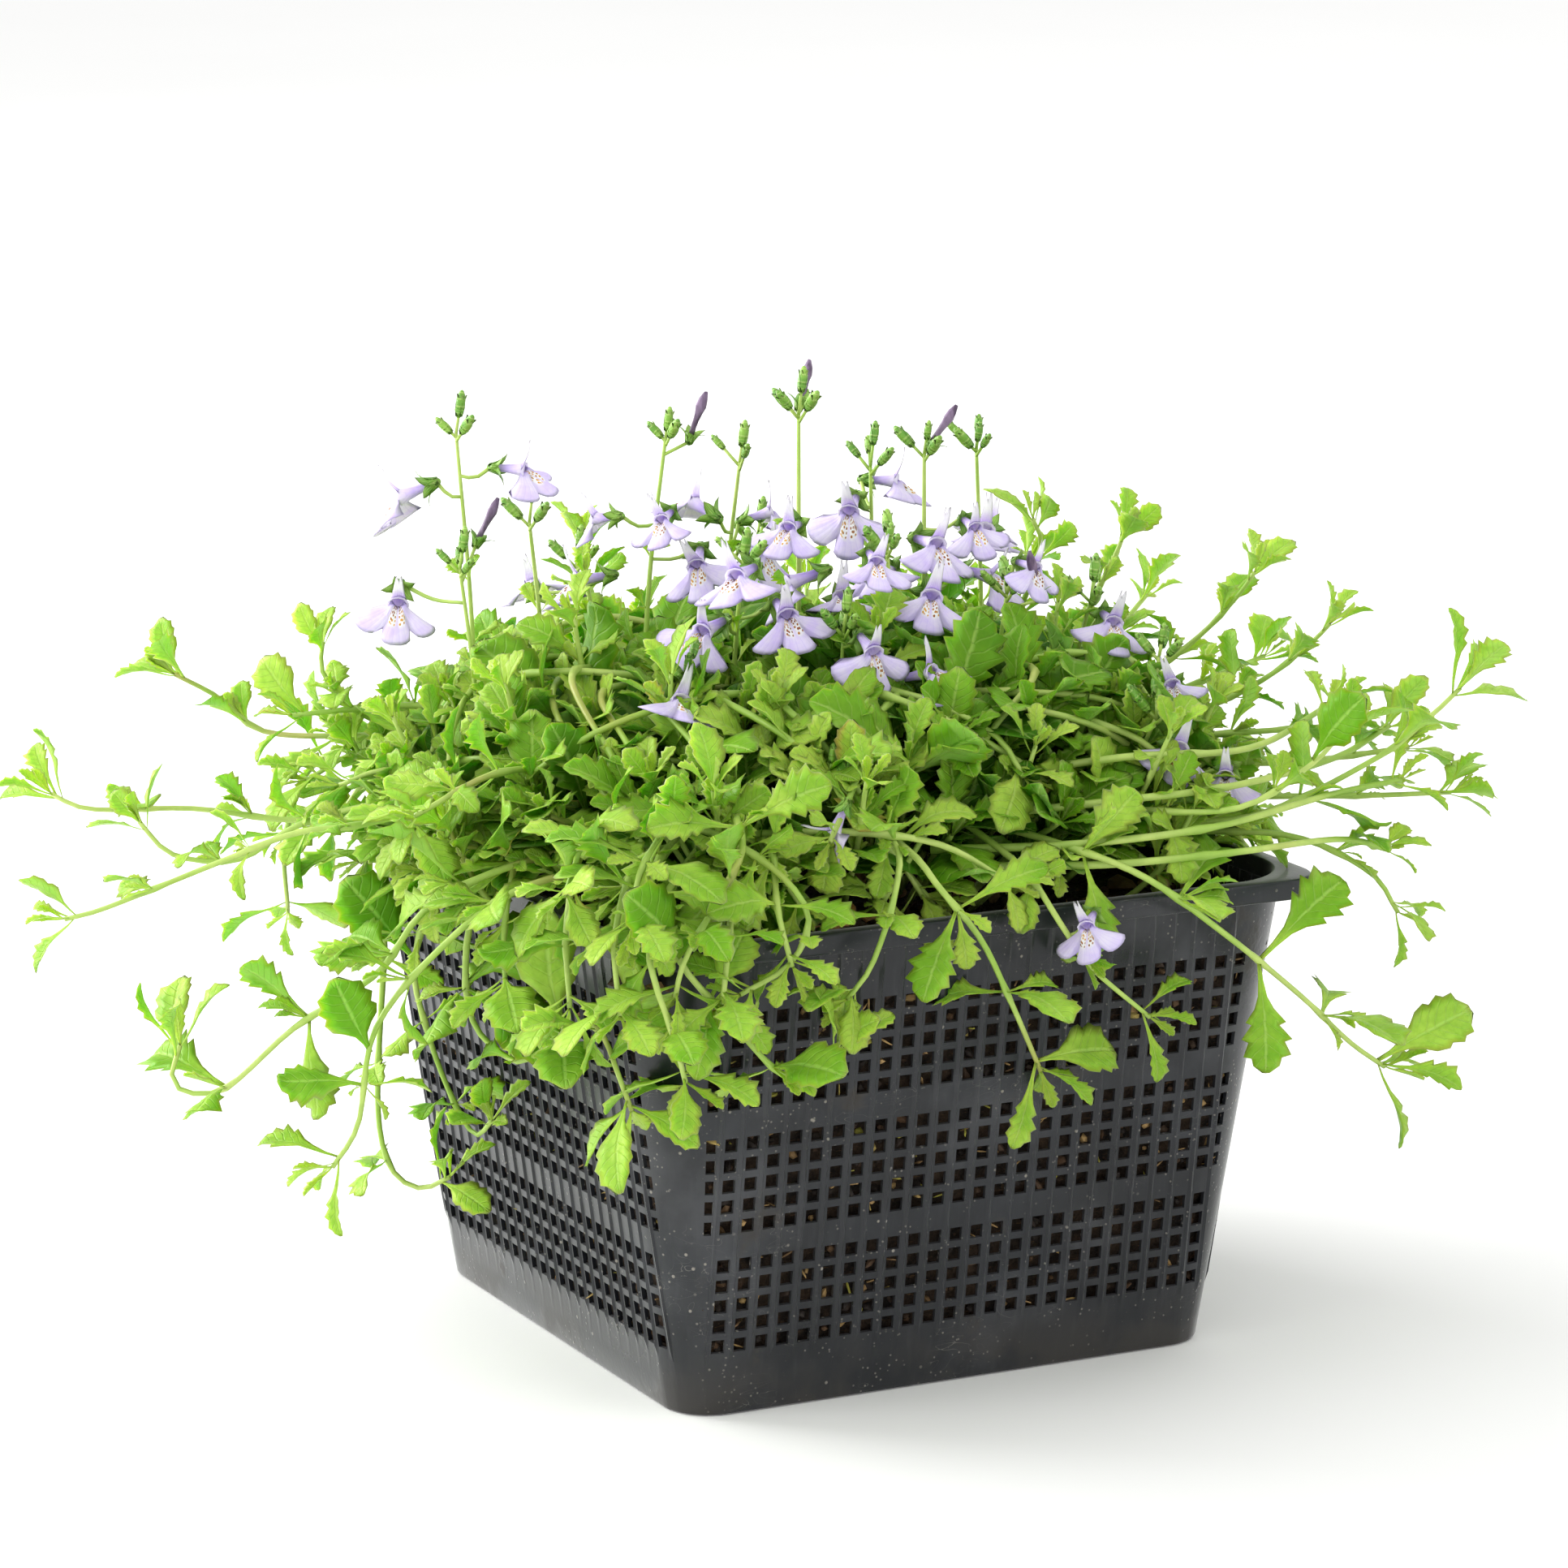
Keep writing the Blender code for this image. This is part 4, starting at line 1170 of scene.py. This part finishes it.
def growRunner(route, length, dice, stems, copies, radius, tone, spacing=growth["nodeSpacing"]):
    path = smoothPath(inMetres(route))
    gap = max(2, round(spacing / growth["step"]))
    spots = list(range(len(path) - 1 - gap, 3, -gap))
    stems.append((path, radius, radius * growth["thinning"], set(spots)))
    for count, spot in enumerate(spots):
        along = headingAt(path, spot)
        turn = (count % 2) * math.pi / 2 * dice.uniform(0.7, 1.0) + dice.uniform(-0.2, 0.2)
        size = length * mm * growth["bigger"] * dice.uniform(0.75, 1.1)
        growNode(copies, dice, path[spot], along, turn, size, tone, dice.random() < growth["tuftChance"])
    along = (path[-1] - path[-3]).normalized()
    growTip(copies, dice, path[-1], along, length * mm * growth["bigger"], tone)


bloom = {
    "tube": 0.0081, "pedicel": 0.00045, "budSize": 1.1, "budStem": 0.0004, "leaf": 14, "size": 1.22,
    "sway": 52, "nod": 22, "tone": 0.8,
}


def flowerPlace(mouth, heading, tilt, size):
    turn = Matrix.Rotation(math.radians(heading), 4, "Z")
    turn = turn @ Matrix.Rotation(math.radians(-tilt), 4, "Y")
    return Matrix.Translation(mouth) @ turn @ Matrix.Scale(size, 4)


def addBudCluster(copies, stems, dice, top, count):
    for i in range(count):
        angle = i * goldenAngle + dice.uniform(-0.3, 0.3)
        spread = 0.25 + 0.75 * (i > 0)
        way = Vector((math.cos(angle) * spread, math.sin(angle) * spread, 1.0 if i else 1.6)).normalized()
        size = dice.uniform(0.65, 1.0) * bloom["budSize"]
        foot = top - Vector((0, 0, 0.001 * (i % 3)))
        head = foot + way * dice.uniform(0.0015, 0.0065)
        stems.append(([foot, (foot + head) / 2, head], bloom["budStem"], bloom["budStem"], set()))
        place = leafPlace(head, way, Vector((way.y, -way.x, 0.2)), size)
        copies.append((budShape, place, bloom["tone"]))
        copies.append((closedCalyx, place, bloom["tone"]))


def addFlower(copies, stems, dice, path, flower):
    x, y, z, heading, tilt = flower
    heading += dice.uniform(-bloom["sway"], bloom["sway"])
    tilt += dice.uniform(-bloom["nod"], bloom["nod"])
    place = flowerPlace(Vector((x, y, z)) * mm, heading, tilt, bloom["size"] * dice.uniform(0.80, 1.08))
    place = place @ Matrix.Rotation(dice.uniform(-0.35, 0.35), 4, "X")
    foot = place @ Vector((-bloom["tube"], 0, 0))
    near = min(path, key=lambda point: (point - foot).length + abs(point.z - foot.z + 0.005) * 1.5)
    bend = (near + foot) / 2 + Vector((0, 0, -0.0015))
    stems.append((smoothPath([near, bend, foot], 0.0022), bloom["pedicel"], bloom["pedicel"] * 1.2, set()))
    copies.append((dice.choice(corollas), place, bloom["tone"]))
    copies.append((openCalyx, place @ Matrix.Translation((-bloom["tube"], 0, 0)), bloom["tone"]))


def finishGrowth(name, stems, copies, slotName, node):
    piece = joinPieces(name, [layOut(name, copies, plantFinishes), makeStems(name + "_stems", stems)])
    settle(piece, slotName, node)


runners = [
    ([(-70, 0, 138), (-96, 26, 132), (-119, 48, 127), (-143, 60, 130), (-169, 62, 132), (-178, 67, 136)], 17),
    ([(-80, 8, 138), (-108, 16, 137), (-128, 27, 131), (-141, 35, 122), (-155, 43, 123), (-163, 46, 132)], 14),
    ([(-80, -16, 142), (-108, -20, 143), (-130, -14, 139), (-143, -7, 137), (-159, 1, 130), (-183, 13, 119),
      (-192, 18, 116)], 14),
    ([(-75, -40, 135), (-106, -44, 132), (-124, -40, 123), (-134, -35, 108), (-152, -27, 95), (-167, -19, 80),
      (-177, -13, 81), (-175, -13, 91)], 20),
    ([(-78, -58, 134), (-106, -56, 130), (-125, -54, 118), (-139, -46, 98), (-143, -44, 75),
      (-148, -40, 64)], 17),
    ([(-80, 30, 132), (-102, 30, 124), (-108, 24, 92), (-112, 19, 60), (-110, 16, 45), (-104, 12, 40),
      (-99, 5, 44)], 16),
    ([(-82, -10, 132), (-104, -8, 122), (-108, 4, 100), (-103, 8, 80), (-97, 6, 62), (-95, -2, 56),
      (-95, -12, 62)], 15),
    ([(-82, -28, 130), (-104, -26, 120), (-104, -20, 92), (-97, -32, 82), (-97, -64, 97), (-99, -84, 101),
      (-98, -92, 92), (-95, -92, 84)], 22),
    ([(-62, -62, 138), (-84, -88, 132), (-86, -99, 120), (-75, -101, 106), (-60, -99, 90), (-50, -99, 89),
      (-45, -100, 97)], 16),
    ([(-24, -60, 140), (-25, -88, 139), (-30, -98, 130), (-37, -100, 114), (-43, -99, 106)], 16),
    ([(-66, -60, 142), (-66, -86, 143), (-59, -99, 136), (-55, -103, 127), (-60, -103, 117),
      (-72, -102, 111)], 15),
    ([(-26, -66, 142), (-22, -90, 137), (-19, -99, 130), (-9, -101, 117), (0, -99, 101), (10, -96, 82)], 18),
    ([(4, -64, 138), (8, -90, 130), (13, -100, 118), (21, -100, 107), (39, -97, 92)], 13),
    ([(10, -60, 136), (20, -84, 134), (36, -98, 127), (56, -102, 112), (78, -102, 94), (92, -102, 81),
      (103, -102, 73)], 22),
    ([(30, -62, 138), (60, -95, 140), (80, -99, 149), (92, -97, 157)], 16),
    ([(50, -60, 132), (76, -80, 134), (103, -93, 148), (118, -95, 158), (126, -95, 164)], 18),
    ([(70, -44, 132), (92, -62, 134), (112, -76, 135), (130, -86, 136)], 15),
    ([(66, -62, 128), (88, -80, 128), (103, -92, 120), (109, -96, 110)], 15),
    ([(-66, 44, 142), (-92, 58, 144), (-115, 80, 143), (-126, 86, 152), (-136, 90, 158)], 17),
    ([(-60, 60, 138), (-84, 82, 138), (-96, 100, 128), (-100, 108, 108), (-98, 112, 88)], 16),
    ([(10, 70, 140), (14, 96, 138), (22, 110, 124), (24, 113, 104), (30, 114, 84), (40, 116, 76)], 17),
    ([(66, 40, 140), (92, 52, 138), (110, 58, 124), (114, 60, 102), (118, 66, 84)], 17),
    ([(50, 70, 138), (70, 92, 138), (92, 108, 130), (112, 118, 118), (128, 122, 112)], 17),
]

shoots = [
    ([(72, -12, 148), (92, -24, 166), (100, -32, 178), (103, -36, 185)], 15),
    ([(78, -30, 146), (98, -44, 158), (110, -50, 168), (114, -54, 174)], 14),
    ([(54, 14, 150), (60, 4, 176), (61, -2, 190), (58, -3, 197)], 13),
    ([(70, 8, 148), (76, 0, 172), (80, -6, 186), (82, -7, 192)], 13),
    ([(-78, 52, 140), (-102, 52, 152), (-110, 55, 162), (-110, 55, 170)], 13),
    ([(-20, 66, 150), (-24, 78, 166), (-26, 84, 178), (-26, 84, 184)], 14),
]


# large leaves on single runners: runner, foot, direction, length
sideLeaves = [
    (8, (-105, -22, 100), (0.50, -0.62, 0.52), 31), (8, (-105, -22, 98), (0.50, -0.72, -0.38), 28),
    (7, (-108, 4, 100), (-0.55, 0.30, 0.75), 26), (5, (-140, -45, 92), (-0.45, -0.20, 0.80), 22),
    (9, (-85, -98, 122), (-0.60, -0.30, 0.60), 24), (15, (82, -99, 151), (0.20, -0.55, 0.75), 22),
]


# the flower low on runner 13: mouth, heading and tilt
lowFlower = (17, -105, 118, -130, -10)


def makeRunners():
    for number, (route, length) in enumerate(runners, 1):
        node = f"runner_{number:02d}"
        stems, copies = [], []
        dice = random.Random(growth["runnerSeed"] + number)
        growRunner(route, length, dice, stems, copies, growth["runnerRadius"], growth["runnerTone"])
        for owner, foot, way, long in sideLeaves:
            if owner == number:
                place = leafPlace(Vector(foot) * mm, Vector(way), Vector((-0.5, -0.6, 0.6)), long * mm, 1.15)
                copies.append((leafShapes["broad"], place, growth["sideLeafTone"]))
        if node == "runner_13":
            path = smoothPath(inMetres(route))
            addFlower(copies, stems, random.Random(growth["lowFlowerSeed"]), path, lowFlower)
        finishGrowth(node + "_growth", stems, copies, "runner", node)
    for number, (route, length) in enumerate(shoots, 1):
        node = f"shoot_{number:02d}"
        stems, copies = [], []
        dice = random.Random(growth["shootSeed"] + number)
        growRunner(route, length, dice, stems, copies, growth["shootRadius"], growth["shootTone"],
                   growth["shootSpacing"])
        finishGrowth(node + "_growth", stems, copies, "shoot", node)


makeRunners()
print("runners and side shoots are ready")


# the crown
# bareFrom and bareTo are the angles between which the front rim stays free of edge shoots
crown = {
    "parts": 6, "innerParts": 4, "under": 0.1225, "rise": 0.042, "lip": 0.003, "sink": 0.011,
    "leaf": 26, "lean": 62, "seed": 77,
    "shoots": 138, "edgeShoots": 56, "uprights": 36, "archingStems": 34, "dryLeaves": 9,
    "shootLength": (0.028, 0.044), "edgeLength": (0.03, 0.042), "uprightHeight": (0.026, 0.046),
    # hollow and hollowReach: the middle and reach of the front hollow, where leaves are bigger, uprights fewer and
    # the tone lowered as painted shade
    "bareFrom": 240, "bareTo": 292, "hollow": (0.012, -0.045), "hollowReach": 0.040,
    "radii": (0.100, 0.103, 0.100, 0.104, 0.108, 0.098, 0.078, 0.094),
}


def crownRadius(angle):
    place = (angle / (math.pi / 4)) % 8
    here = int(place)
    share = (1 - math.cos((place - here) * math.pi)) / 2
    return crown["radii"][here] * (1 - share) + crown["radii"][(here + 1) % 8] * share


def crownTop(x, y):
    reach = min(0.999, math.hypot(x, y) / crownRadius(math.atan2(y, x)))
    return crown["under"] + crown["lip"] + crown["rise"] * (1 - reach ** 2.4) ** 0.6


def shadedAt(point):
    # how far a place lies in the big-leaved hollow at the front of the crown, where the leaves are painted darker
    # as shade
    x, y = crown["hollow"]
    return math.exp(-((point.x - x) ** 2 + (point.y - y) ** 2) / crown["hollowReach"] ** 2)


def growCrownShoot(tip, direction, length, dice, stems, copies, tone, size):
    # a short leafy shoot whose foot leans back to the middle of the pot
    foot = tip - direction * length * 0.75 + Vector((0, 0, -length * 0.3))
    foot.x -= tip.x * 0.12
    foot.y -= tip.y * 0.12
    middle = (foot + tip) / 2 + Vector((0, 0, 0.002))
    path = smoothPath([foot, middle, tip], 0.005)
    spots = [max(1, round((len(path) - 1) * share)) for share in (0.25, 0.55, 0.82)]
    stems.append((path, 0.0009, 0.0006, set(spots)))
    for count, spot in enumerate(spots):
        along = (path[min(spot + 1, len(path) - 1)] - path[spot - 1]).normalized()
        big = size * mm * (1.25, 1.05, 0.85)[count] * dice.uniform(0.85, 1.15)
        # lower pairs sit deeper in the crown under the others and get a lower tone: painted shade
        shade = tone - (0.62, 0.36, 0.06)[count]
        growNode(copies, dice, path[spot], along, count * math.pi / 2 + dice.uniform(-0.4, 0.4), big, shade,
                 count > 0 and dice.random() < 0.3, 0.68)
    growTip(copies, dice, tip, (path[-1] - path[-2]).normalized(), size * mm * 0.8, tone)


def growUprights(parts, dice):
    # thin leafy shoots that stand above the crown and break up its outline
    for i in range(crown["uprights"]):
        angle = i * goldenAngle * 1.7
        radius = crownRadius(angle) * dice.uniform(0.55, 1.0)
        x, y = radius * math.cos(angle), radius * math.sin(angle)
        reach = radius / crownRadius(angle)
        out = Vector((math.cos(angle), math.sin(angle), 0))
        foot = Vector((x, y, crownTop(x, y) - 0.020)) - out * 0.012
        way = (out * (0.10 + 0.75 * reach ** 2) + upward + stray(dice, 0.2)).normalized()
        tall = dice.uniform(*crown["uprightHeight"])
        middle = foot + way * tall * 0.5 + out * 0.003
        tip = foot + way * tall + upward * 0.003
        stems, copies = parts[i % crown["parts"]]
        if dice.random() < shadedAt(tip):
            continue
        route = [point / mm for point in (foot, middle, tip)]
        growRunner(route, dice.uniform(10, 15), dice, stems, copies, growth["shootRadius"], growth["runnerTone"],
                   growth["uprightSpacing"])


# shoots that spill over the rim, thickest over the near corner and the left side
drapes = [
    ([(-60, -50, 135), (-85, -75, 138), (-98, -90, 125), (-100, -97, 108)], 19),
    ([(-70, -40, 138), (-92, -60, 138), (-102, -72, 124), (-104, -78, 106)], 20),
    ([(-72, -20, 138), (-95, -34, 136), (-105, -44, 120), (-107, -48, 104)], 20),
    ([(-50, -62, 138), (-66, -86, 138), (-74, -101, 128), (-78, -105, 110)], 18),
    ([(-48, -60, 138), (-56, -86, 140), (-62, -101, 130), (-60, -105, 116)], 16),
    ([(-78, 2, 138), (-98, -2, 134), (-107, -8, 120)], 20),
    ([(-74, 28, 138), (-98, 34, 134), (-107, 38, 118)], 18),
    ([(-66, 48, 138), (-90, 62, 136), (-101, 72, 120)], 18),
    ([(-58, -58, 142), (-78, -80, 148), (-93, -93, 140), (-97, -97, 128)], 19),
    ([(-70, -50, 142), (-94, -70, 146), (-108, -84, 134)], 17),
    ([(-82, -10, 140), (-108, -16, 144), (-120, -22, 138)], 15),
    ([(-80, 14, 140), (-106, 20, 144), (-118, 26, 140)], 15),
    ([(-76, 40, 140), (-100, 52, 142), (-112, 62, 134)], 15),
    ([(-50, -64, 142), (-64, -84, 148), (-70, -98, 142), (-86, -103, 122), (-88, -101, 112)], 17),
    ([(-66, -58, 140), (-86, -84, 136), (-94, -101, 120), (-90, -104, 104), (-86, -102, 92)], 18),
    ([(70, 20, 140), (94, 26, 138), (104, 30, 124)], 16),
    ([(60, 56, 140), (82, 76, 138), (96, 90, 126)], 16),
    ([(20, 74, 140), (26, 94, 138), (28, 104, 122)], 16),
    ([(-30, 72, 140), (-36, 94, 138), (-38, 104, 120)], 16),
    ([(78, -20, 140), (98, -26, 136), (106, -30, 122)], 15),
    ([(66, -10, 146), (94, -14, 152), (116, -20, 160)], 14),
    ([(70, 26, 146), (98, 34, 154), (116, 40, 166)], 14),
    ([(62, -36, 146), (88, -50, 148), (114, -62, 150)], 14),
    ([(56, 40, 150), (78, 52, 162), (92, 60, 174)], 14),
    ([(74, -50, 142), (100, -62, 142), (124, -76, 146)], 14),
    ([(-60, 30, 148), (-90, 44, 154), (-118, 56, 152)], 14),
    ([(-70, -20, 148), (-100, -30, 152), (-126, -40, 146)], 14),
]


# bare arcs seen across the front of the crown: the route and the size of its tip leaves
frontArcs = [
    ([(-30, -24, 148), (-14, -40, 165), (-2, -54, 166), (12, -68, 158), (17, -74, 148)], 18),
    ([(-104, 18, 142), (-96, 0, 149), (-84, -22, 152), (-62, -44, 154), (-46, -54, 152)], 14),
    ([(-26, -50, 150), (-24, -68, 156), (-34, -84, 152), (-44, -92, 142)], 15),
    ([(20, -40, 150), (34, -56, 158), (50, -70, 154), (60, -78, 142)], 17),
    ([(-10, -20, 160), (-20, -40, 168), (-32, -56, 164), (-44, -68, 152)], 15),
    ([(70, -30, 140), (60, -56, 140), (36, -76, 134), (20, -84, 128)], 14),
    ([(6, -66, 138), (34, -82, 142), (66, -88, 144), (98, -83, 147), (118, -76, 152)], 14),
    ([(-6, -70, 132), (24, -88, 134), (58, -94, 136), (92, -91, 140), (114, -88, 141)], 13),
    ([(14, -60, 146), (44, -76, 151), (76, -80, 151), (106, -68, 157)], 14),
    ([(2, -74, 128), (30, -91, 129), (62, -97, 130), (92, -96, 130), (108, -92, 125)], 12),
    ([(-60, -66, 140), (-36, -84, 142), (-14, -90, 138), (4, -93, 127)], 13),
]


def growDrapes(parts, dice):
    for i, (route, length) in enumerate(frontArcs):
        stems, copies = parts[i % crown["parts"]]
        path = smoothPath(inMetres(route))
        stems.append((path, 0.0011, 0.0007, {len(path) // 2}))
        growTip(copies, dice, path[-1], (path[-1] - path[-3]).normalized(), length * mm * 1.2, 0.8)
    for i, (route, length) in enumerate(drapes):
        stems, copies = parts[i % crown["parts"]]
        growRunner(route, length, dice, stems, copies, growth["crownStem"], growth["drapeTone"],
                   growth["drapeSpacing"])


def growArchingStems(parts, dice):
    # bare pale stems that cross the leaves in low arches
    for i in range(crown["archingStems"]):
        angle = i * goldenAngle
        turn = angle + dice.uniform(0.6, 1.5) * dice.choice((-1, 1))
        points = []
        for way, share, lift in ((angle, 0.35, -0.004), ((angle * 2 + turn) / 3, 0.66, 0.010),
                                 ((angle + turn * 2) / 3, 0.86, 0.009), (turn, 1.0, -0.004)):
            radius = crownRadius(way) * share
            x, y = radius * math.cos(way), radius * math.sin(way)
            points.append(Vector((x, y, crownTop(x, y) + lift + dice.uniform(-0.003, 0.003))))
        stems, copies = parts[i % crown["parts"]]
        path = smoothPath(points)
        stems.append((path, growth["crownStem"], 0.0007, {len(path) // 3, len(path) * 2 // 3}))
        growTip(copies, dice, path[-1], (path[-1] - path[-2]).normalized(), 0.017, 0.75)


def makeCrown():
    dice = random.Random(crown["seed"])
    parts = [([], []) for _ in range(crown["parts"])]
    for i in range(crown["shoots"]):
        reach = math.sqrt((i + 0.5) / crown["shoots"])
        angle = i * goldenAngle
        radius = crownRadius(angle) * reach * 0.98
        x, y = radius * math.cos(angle), radius * math.sin(angle)
        sunk = crown["sink"] * (1 - reach ** 2) - 0.003
        tip = Vector((x, y, crownTop(x, y) - sunk + dice.uniform(-0.006, 0.007)))
        lean = math.radians(crown["lean"]) * reach ** 1.6
        direction = Vector((math.cos(angle) * math.sin(lean), math.sin(angle) * math.sin(lean), math.cos(lean)))
        direction += stray(dice, 0.22)
        drift = noise.noise(Vector((x, y, 0)) * 26) * 0.35
        shaded = shadedAt(tip)
        # leaves in the front hollow take a lower tone: painted shade
        tone = 0.52 + 0.28 * reach + drift + dice.uniform(-0.14, 0.14) - 0.45 * shaded
        stems, copies = parts[i % crown["innerParts"]]
        growCrownShoot(tip, direction.normalized(), dice.uniform(*crown["shootLength"]), dice, stems, copies, tone,
                       crown["leaf"] * dice.uniform(0.8, 1.15) * (1 + 0.2 * shaded))
    for i in range(crown["edgeShoots"]):
        angle = (i + dice.uniform(-0.3, 0.3)) * math.tau / crown["edgeShoots"]
        if crown["bareFrom"] < math.degrees(angle) % 360 < crown["bareTo"]:
            continue
        radius = crownRadius(angle) * dice.uniform(0.94, 1.04)
        tip = Vector((radius * math.cos(angle), radius * math.sin(angle), dice.uniform(0.122, 0.140)))
        direction = Vector((math.cos(angle), math.sin(angle), dice.uniform(-0.25, 0.35))).normalized()
        stems, copies = parts[crown["innerParts"] + i % 2]
        growCrownShoot(tip, direction, dice.uniform(*crown["edgeLength"]), dice, stems, copies,
                       0.62 + dice.uniform(-0.15, 0.2), crown["leaf"] * dice.uniform(0.75, 1.05))
    for i in range(crown["dryLeaves"]):
        place = Vector((dice.uniform(-0.070, -0.015), dice.uniform(-0.084, -0.066), dice.uniform(0.114, 0.120)))
        way = Vector((dice.uniform(-1, 1), dice.uniform(-1, 0.2), dice.uniform(-0.1, 0.5)))
        dry = leafPlace(place, way, upward, dice.uniform(0.010, 0.016))
        parts[-1][1].append((leafShapes["curled"], dry, growth["dryTone"]))
    growUprights(parts, dice)
    growDrapes(parts, dice)
    growArchingStems(parts, dice)
    for number, (stems, copies) in enumerate(parts, 1):
        finishGrowth(f"crown_growth_{number}", stems, copies, "foliage", "leaf_mound")


makeCrown()
print("crown is ready")


# flower stalks
# base (x, y), tip, then each flower's mouth, heading and tilt in degrees
stalks = [
    ((-76, 38), (-80, 40, 222), [(-93, 46, 206, 153, -20), (-65, 32, 213, -35, 5)]),
    ((-84, 18), (-88, 20, 192), [(-101, 28, 183, -150, -5)]),
    ((-53, 48), (-57, 48, 197), [(-51, 34, 184, -170, 0)]),
    ((-40, 18), (-34, 17, 221), [(-50, 24, 201, 165, -5), (-42, 3, 203, -120, -5), (-30, 8, 190, -80, 0)]),
    ((-6, 43), (-4, 37, 210), [(-15, 42, 200, 160, 0), (7, 41, 196, -35, -5), (-2, 26, 188, -100, 0)]),
    ((-8, -4), (-6, 0, 227), [(-14, -10, 201, -130, 5), (-16, -14, 188, -160, 0), (-2, -16, 184, -70, -5)]),
    ((21, 12), (19, 10, 211), [(10, 4, 201, -145, 0), (32, 20, 205, -45, 0), (14, -4, 188, -150, 0)]),
    ((30, 2), (32, 6, 214), [(21, -22, 196, -112, 0), (38, -10, 197, -85, 0), (44, -8, 184, -50, -5)]),
    ((59, 25), (57, 25, 211), [(66, 34, 190, 30, 0), (54, 14, 192, -80, 0)]),
    ((34, -28), (36, -30, 184), [(38, -41, 192, -40, -25)]),
    ((58, -22), (62, -26, 180), [(64, -34, 175, -70, 0)]),
    ((66, -46), (70, -46, 168), [(68, -56, 163, -105, 0)]),
    ((54, -60), (58, -66, 158), [(58, -77, 152, -135, 0), (68, -82, 145, -95, -10)]),
    ((-32, -16), (-31, -20, 196), [(-38, -30, 194, -140, 0), (-26, -34, 184, -110, -5),
      (-44, -24, 180, -170, -5)]),
    ((6, -28), (4, -28, 197), [(-4, -38, 196, -130, 0), (12, -36, 186, -65, 0)]),
    ((-14, -38), (-14, -40, 180), [(-12, -52, 177, -65, 0), (4, -52, 171, -60, -5)]),
    ((-48, -30), (-54, -36, 172), [(-59, -44, 168, -130, 0)]),
    ((-26, -56), (-34, -72, 153), [(-41, -88, 143, 175, -50)]),
    ((14, 60), (14, 64, 184), [(18, 76, 177, 75, 0)]),
    ((-32, 64), (-36, 66, 182), [(-44, 76, 176, 125, 0)]),
]

wiltedOn = {2: (-76, 38, 194), 4: (-29, 14, 220), 6: (-5, 2, 228), 8: (33, 6, 215), 10: (39, -41, 184)}


def makeStalks():
    for number, (base, tip, flowers) in enumerate(stalks, 1):
        dice = random.Random(growth["stalkSeed"] + number)
        node = f"flower_stalk_{number:02d}"
        stems, copies = [], []
        root = Vector((base[0] * mm, base[1] * mm, crownTop(base[0] * mm, base[1] * mm) - 0.012))
        top = Vector(tip) * mm
        bend = (root + top) / 2 + Vector((root.x - top.x, root.y - top.y, 0)) * 0.2
        path = smoothPath([root, bend, top])
        stems.append((path, growth["stalkRadius"], growth["stalkRadius"] * 0.6, set()))
        for flower in flowers:
            addFlower(copies, stems, dice, path, flower)
        addBudCluster(copies, stems, dice, top, dice.randint(3, 5))
        for share in (0.18, 0.38, 0.55):
            spot = max(1, round((len(path) - 1) * share))
            along = headingAt(path, spot)
            growNode(copies, dice, path[spot], along, share * 9, bloom["leaf"] * mm * (1.2 - share), 0.7, False)
        if number in wiltedOn:
            x, y, z = wiltedOn[number]
            head = Vector((x, y, z)) * mm
            way = Vector((dice.uniform(-0.5, 0.5), dice.uniform(-0.5, 0.2), 0.9)).normalized()
            near = min(path, key=lambda point: (point - head).length + abs(point.z - head.z + 0.004))
            stems.append(([near, (near + head) / 2, head], bloom["pedicel"], bloom["pedicel"], set()))
            place = leafPlace(head, way, Vector((way.y, -way.x, 0.2)), 1.0)
            copies.append((wiltedShape, place @ Matrix.Translation((0.002, 0, 0)), bloom["tone"]))
            copies.append((openCalyx, place, bloom["tone"]))
        finishGrowth(node + "_bloom", stems, copies, "flower", node)


makeStalks()
print("flower stalks are ready")
